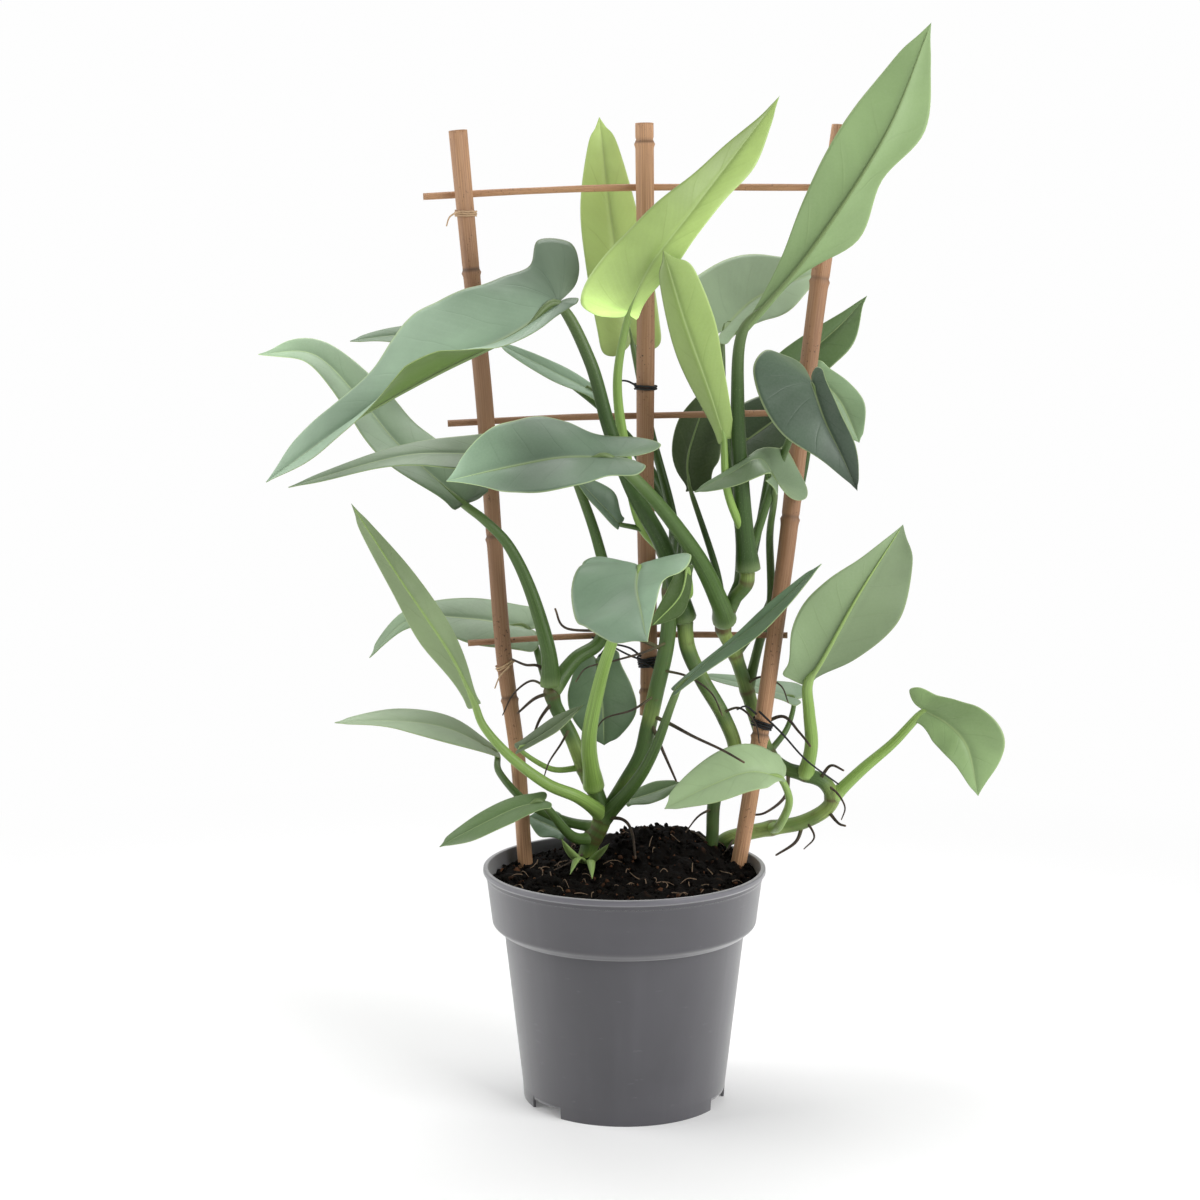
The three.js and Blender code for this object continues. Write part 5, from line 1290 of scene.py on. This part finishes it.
def outline_of(half, rib_length):
    """One half's outline from the notch at the stalk round the lobe to the tip, as rows of
    where it leaves the rib, where its edge lies and how far out that edge is."""
    lobe, _, widths = half[:3]
    lobe_width = half[3] if len(half) > 3 else widths[0]
    back = lobe / rib_length
    rows = [(0, 0, 0)] + [(0, reach * back, width * lobe_width) for reach, width in LOBE_ROWS]
    if len(half) > 3:
        rows.append((0, NECK_PLACE * back, half[4]))
    for edge, width in zip(np.linspace(FIRST_STATION, LAST_STATION, len(widths)), widths):
        rows.append((max(edge - VEIN_SLANT * (1 - edge), 0), edge, width))
    return rows + [(TIP_ROW[0], TIP_ROW[1], TIP_ROW[2] * widths[-1]), (1, 1, 0)]


def on_blade(leaf, rib, along, out, side):
    """Points of a blade, the way its upper face looks there, and the way across it."""
    half = leaf["right"] if side > 0 else leaf["left"]
    t = np.clip(along, 0, 1)
    step = 0.04
    tangent = unit(rib.at(np.minimum(t + step, 1)) - rib.at(np.maximum(t - step, 0)))
    point = rib.at(t) + tangent * (np.minimum(along, 0) * rib.length)[..., None]
    front = unit(np.array([0.0, -1.0, 0.0]) + tangent * tangent[..., 1:2])
    turn = blend(leaf["turn"], along)[..., None]
    facing = front * np.cos(turn) + np.cross(tangent, front) * np.sin(turn)
    across = np.cross(tangent, facing) * side
    lift = blend(half[1], along)[..., None]
    out = out[..., None]
    point = point + across * out * np.cos(lift) + facing * out * np.sin(lift)
    return point, facing * np.cos(lift) - across * np.sin(lift), facing


# How finely a half blade is cut, across and between two rows of its outline.
COLUMNS = 13
ROWS_PER_STATION = 8
# A half's rise between rib and edge, as a part of its width.
BULGE = 0.045
# The furrow over the rib: its depth and half width.
FURROW_DEPTH = 0.35
FURROW_WIDTH = 1.4
# A half this wide has its waves and veins at full height.
FULL_WIDTH = 16


def half_blade(leaf, rib, side, number, sizes):
    """Middle surface of one half as a grid from the rib outwards, its upward directions,
    and where each of its points lies on the leaf."""
    rows = np.array(outline_of(leaf["right"] if side > 0 else leaf["left"], rib.length))
    count = (len(rows) - 1) * ROWS_PER_STATION + 1
    share = np.linspace(0, 1, count)
    curve = Curve(rows)
    leaves, edge, width = np.moveaxis(curve.through(share), -1, 0)
    leaves, width = np.clip(leaves, 0, 1), np.maximum(width, 0)
    part = np.linspace(0, 1, COLUMNS)[None, :]
    along = leaves[:, None] + (edge - leaves)[:, None] * part
    out = width[:, None] * part
    point, upward, facing = on_blade(leaf, rib, along, out, side)
    near_rib = smooth(part, 0, 0.2)[..., None]
    upward = unit(facing + (upward - facing) * near_rib)
    room = np.minimum(width / FULL_WIDTH, 1)[:, None]
    bulge = BULGE * width[:, None] * np.sin(math.pi * part**0.8)
    wave = np.sin(2 * math.pi * (2.6 * share[:, None] + 0.37 * number + 0.2 * side))
    wave = wave + 0.5 * np.sin(2 * math.pi * (5.3 * share[:, None] + 0.61 * number))
    swept = share[:, None] - VEIN_SWEEP * part + 0.006 * np.sin(9 * share[:, None] + number)
    lateral = (1 - np.abs(np.sin(math.pi * SIDE_VEINS * swept))) ** 3
    height = bulge + sizes.edge_wave / MM * wave * part**2 * room
    height = height - sizes.vein_depth / MM * lateral * np.sin(math.pi * part) ** 0.5 * room
    height = height - FURROW_DEPTH * bell(out, FURROW_WIDTH) * room
    place = np.stack(np.broadcast_arrays(side * part, share[:, None], 0), axis=-1)
    return point + upward * height[..., None], upward, place


def under_rib(leaf, rib, along, below):
    """A point that lies a little below the rib."""
    point, upward, _ = on_blade(leaf, rib, np.array(float(along)), np.array(0.0), 1)
    return point - upward * below


def stalk_curve(leaf):
    """From the middle of the stem that carries the stalk to the underside of the rib."""
    rib = Curve(leaf["rib"])
    parent = leaf["stem"]
    carrier = Curve(STEMS[parent]["points"]) if parent in STEMS else stalk_curve(LEAVES[parent])
    start = carrier.at(carrier.share_of(leaf["at"]))
    return Curve([start, *leaf["stalk"], under_rib(leaf, rib, 0, 0.8), under_rib(leaf, rib, 0.12, 0.5)])


# A stalk thins out under the rib past this share of its length, to this radius.
STALK_END = 0.85
STALK_TIP = 0.6
# The sheath round a stalk's foot: its rise in foot radii and its share of the length.
SHEATH_RISE = 0.24
SHEATH_SHARE = 0.07


def grow_blade(clay, leaf, number, sizes):
    """The upper and the lower skin of a blade, joined round its edge."""
    rib = Curve(leaf["rib"])
    halves = [half_blade(leaf, rib, side, number, sizes) for side in (-1, 1)]
    middle, upward, place = (np.hstack([left[:, :0:-1], right]) for left, right in zip(*halves))
    edge = smooth(np.abs(place[..., :1]), 0.8, 1)
    thick = (sizes.blade + (sizes.blade_edge - sizes.blade) * edge) / MM
    rows, columns = middle.shape[:2]
    faces = grid_faces(rows, columns)
    for finish, way in enumerate((1, -1)):
        clay.add(middle + way * upward * thick / 2, faces, place.reshape(-1, 3), finish=finish)
    under = rows * columns
    for column in (0, columns - 1):
        edge_top = np.arange(rows) * columns + column
        near, far = edge_top[:-1], edge_top[1:]
        strip = np.stack([near, far, far + under, near + under], axis=-1)
        clay.faces += strip.tolist()
        clay.finishes += [1] * len(strip)


def grow_stalk(clay, leaf):
    """The stalk, and the ridge under the blade that carries it on to the tip."""
    rib = Curve(leaf["rib"])
    base, top = leaf["radii"]

    def radius_at(t, angle):
        thinning = top + (STALK_TIP - top) * (t - STALK_END) / (1 - STALK_END)
        body = np.where(t < STALK_END, base + (top - base) * t / STALK_END, thinning)
        return body + SHEATH_RISE * base * bell(t, SHEATH_SHARE) + 0.05 * body * np.cos(angle)

    stalk = stalk_curve(leaf)
    tube(clay, stalk, radius_at, 16, max(int(stalk.length / 2.5), 24), finish=2)
    ridge = [under_rib(leaf, rib, t, 0.35 * top * (1 - t) + 0.25) for t in np.linspace(0, 0.97, 12)]
    tube(clay, Curve(ridge), tapered(0.5 * top, 0.25), 8, 40, finish=3, mark_at=lambda t: 1 + 0 * t)


class PLANT_OT_grow_leaves(Operator):
    """Grow the leaves, each with its blade, rib and stalk in one"""

    bl_idname = "plant.grow_leaves"
    bl_label = "Grow the leaves"

    def execute(self, context):
        sizes, colours = context.scene.plant_sizes, context.scene.plant_colours
        vein = colours.vein
        # Each leaf's "tone" picks its stalk's colour; the dark stalks are partly painted shade, for stalks
        # deep in the plant.
        stalks = {
            tone: stalk_material(f"{tone} stalk", getattr(colours, f"stalk_{tone}"), vein)
            for tone in ("dark", "mid", "light")
        }
        for number, (node, leaf) in enumerate(LEAVES.items()):
            clay = Clay()
            grow_blade(clay, leaf, number, sizes)
            grow_stalk(clay, leaf)
            name = node.replace("leaf_", "").replace("_", " ")
            tones = leaf.get("halves", (1, 1)), leaf.get("ends", (1, 1))
            materials = [
                leaf_material(f"{name} face", light(leaf["face"]), vein, True, *tones),
                leaf_material(f"{name} back", light(leaf["back"]), vein, False, *tones),
                stalks[leaf["tone"]],
                stalks["light" if leaf["tone"] == "light" else "mid"],
            ]
            clay.piece(node.replace("leaf_", "blade_"), materials, node, merge=True)
        return {"FINISHED"}


CAMERA_PLACE = (0, -1200, 424)
CAMERA_TILT = 82.6
CAMERA_TURN = 0.62
CAMERA_LENS = 69
CAMERA_SENSOR = 36
CAMERA_SIGHT = 50
# Square soft lights: place, the point that each is aimed at, width and power in watts.
LAMPS = {
    "key light": ((1000, -800, 780), (0, 0, 250), 900, 16),
    "left light": ((-1150, -40, 700), (0, 0, 230), 1100, 9),
    "top light": ((-100, 500, 1400), (0, 0, 300), 900, 9),
}
# How bright the air is from the front, and from the sides and the back.
FRONT_AIR = 0.0
SIDE_AIR = 0.44
# The floor goes over into white between these distances from the pot, in metres.
FLOOR_FADE = (0.3, 0.85)
FLOOR_GLOW = 0.12
FLOOR_REACH = 9


def add_light(scene, name, place, target, size, power):
    """A square soft light at a place, aimed at a target."""
    lamp = bpy.data.lights.new(name, "AREA")
    lamp.shape = "SQUARE"
    lamp.size = size * MM
    lamp.energy = power
    made = bpy.data.objects.new(name, lamp)
    scene.collection.objects.link(made)
    made.location = [part * MM for part in place]
    aim = Vector(target) - Vector(place)
    made.rotation_euler = aim.to_track_quat("-Z", "Y").to_euler()


def studio_air():
    """Even white behind the plant, and light that is dimmer from the front."""
    world = bpy.data.worlds.new("studio air")
    world.use_nodes = True
    nodes, links = world.node_tree.nodes, world.node_tree.links
    heading = nodes.new("ShaderNodeTexCoord")
    parts = nodes.new("ShaderNodeSeparateXYZ")
    links.new(heading.outputs["Generated"], parts.inputs[0])
    dim = nodes.new("ShaderNodeMapRange")
    dim.interpolation_type = "SMOOTHSTEP"
    settings = {"From Min": -0.75, "From Max": 0.0, "To Min": FRONT_AIR, "To Max": SIDE_AIR}
    for name, number in settings.items():
        dim.inputs[name].default_value = number
    links.new(parts.outputs["Y"], dim.inputs["Value"])
    seen = nodes.new("ShaderNodeLightPath")
    brighter = nodes.new("ShaderNodeMath")
    brighter.operation = "MAXIMUM"
    links.new(dim.outputs["Result"], brighter.inputs[0])
    links.new(seen.outputs["Is Camera Ray"], brighter.inputs[1])
    links.new(brighter.outputs[0], nodes["Background"].inputs["Strength"])
    nodes["Background"].inputs["Color"].default_value = (0.99, 0.99, 0.99, 1)
    return world


def floor_material(colour):
    """Pale floor that goes over into the white behind the plant."""
    paint = Paint("studio floor")
    away = paint.node("ShaderNodeVectorMath", operation="LENGTH")
    paint.feed(away.inputs[0], paint.solid)
    away = away.outputs["Value"]
    shade = paint.mix(paint.ramp(away, *FLOOR_FADE), colour, (0, 0, 0))
    shader = paint.shader.inputs
    paint.feed(shader["Emission Color"], (0.99, 0.99, 0.99))
    paint.feed(shader["Emission Strength"], paint.ramp(away, *FLOOR_FADE, FLOOR_GLOW, 1.0))
    material = paint.finish(shade, 0.9, Specular_IOR_Level=0.0)
    # So wide a glowing floor lights the plant with less grain when it isn't sampled as a lamp.
    material.cycles.emission_sampling = "NONE"
    return material


class PLANT_OT_set_stage(Operator):
    """Set the pale floor, the soft lights and the camera"""

    bl_idname = "plant.set_stage"
    bl_label = "Set the stage"

    def execute(self, context):
        scene = context.scene
        mesh = bpy.data.meshes.new("studio_floor")
        corners = [(x * FLOOR_REACH, y * FLOOR_REACH, 0) for x, y in ((-1, -1), (1, -1), (1, 1), (-1, 1))]
        mesh.from_pydata(corners, [], [(0, 1, 2, 3)])
        floor = bpy.data.objects.new("studio_floor", mesh)
        scene.collection.objects.link(floor)
        mesh.materials.append(floor_material(scene.plant_colours.floor))
        scene.world = studio_air()
        for name, lamp in LAMPS.items():
            add_light(scene, name, *lamp)
        camera = bpy.data.cameras.new("camera")
        camera.lens = CAMERA_LENS
        camera.sensor_width = CAMERA_SENSOR
        camera.clip_end = CAMERA_SIGHT
        holder = bpy.data.objects.new("camera", camera)
        scene.collection.objects.link(holder)
        holder.location = [part * MM for part in CAMERA_PLACE]
        holder.rotation_euler = (math.radians(CAMERA_TILT), 0, math.radians(CAMERA_TURN))
        scene.camera = holder
        scene.view_settings.view_transform = "Standard"
        return {"FINISHED"}


class PLANT_PT_steps(Panel):
    """Lists the steps that make the plant"""

    bl_label = "Potted philodendron"
    bl_space_type = "VIEW_3D"
    bl_region_type = "UI"
    bl_category = "Plant"

    def draw(self, context):
        for operator in OPERATORS:
            self.layout.operator(operator.bl_idname)
        for group in (context.scene.plant_sizes, context.scene.plant_colours):
            box = self.layout.box()
            for name in type(group).__annotations__:
                box.prop(group, name)


OPERATORS = (
    PLANT_OT_turn_pot,
    PLANT_OT_fill_soil,
    PLANT_OT_cut_canes,
    PLANT_OT_lay_bars,
    PLANT_OT_wind_ties,
    PLANT_OT_grow_stems,
    PLANT_OT_grow_leaves,
    PLANT_OT_set_stage,
)
CLASSES = (PlantSizes, PlantColours, *OPERATORS, PLANT_PT_steps)


def register():
    for item in CLASSES:
        bpy.utils.register_class(item)
    bpy.types.Scene.plant_sizes = PointerProperty(type=PlantSizes)
    bpy.types.Scene.plant_colours = PointerProperty(type=PlantColours)


def unregister():
    del bpy.types.Scene.plant_colours
    del bpy.types.Scene.plant_sizes
    for item in reversed(CLASSES):
        bpy.utils.unregister_class(item)


def main():
    register()
    for operator in OPERATORS:
        group, name = operator.bl_idname.split(".")
        getattr(getattr(bpy.ops, group), name)()


if __name__ == "__main__":
    main()
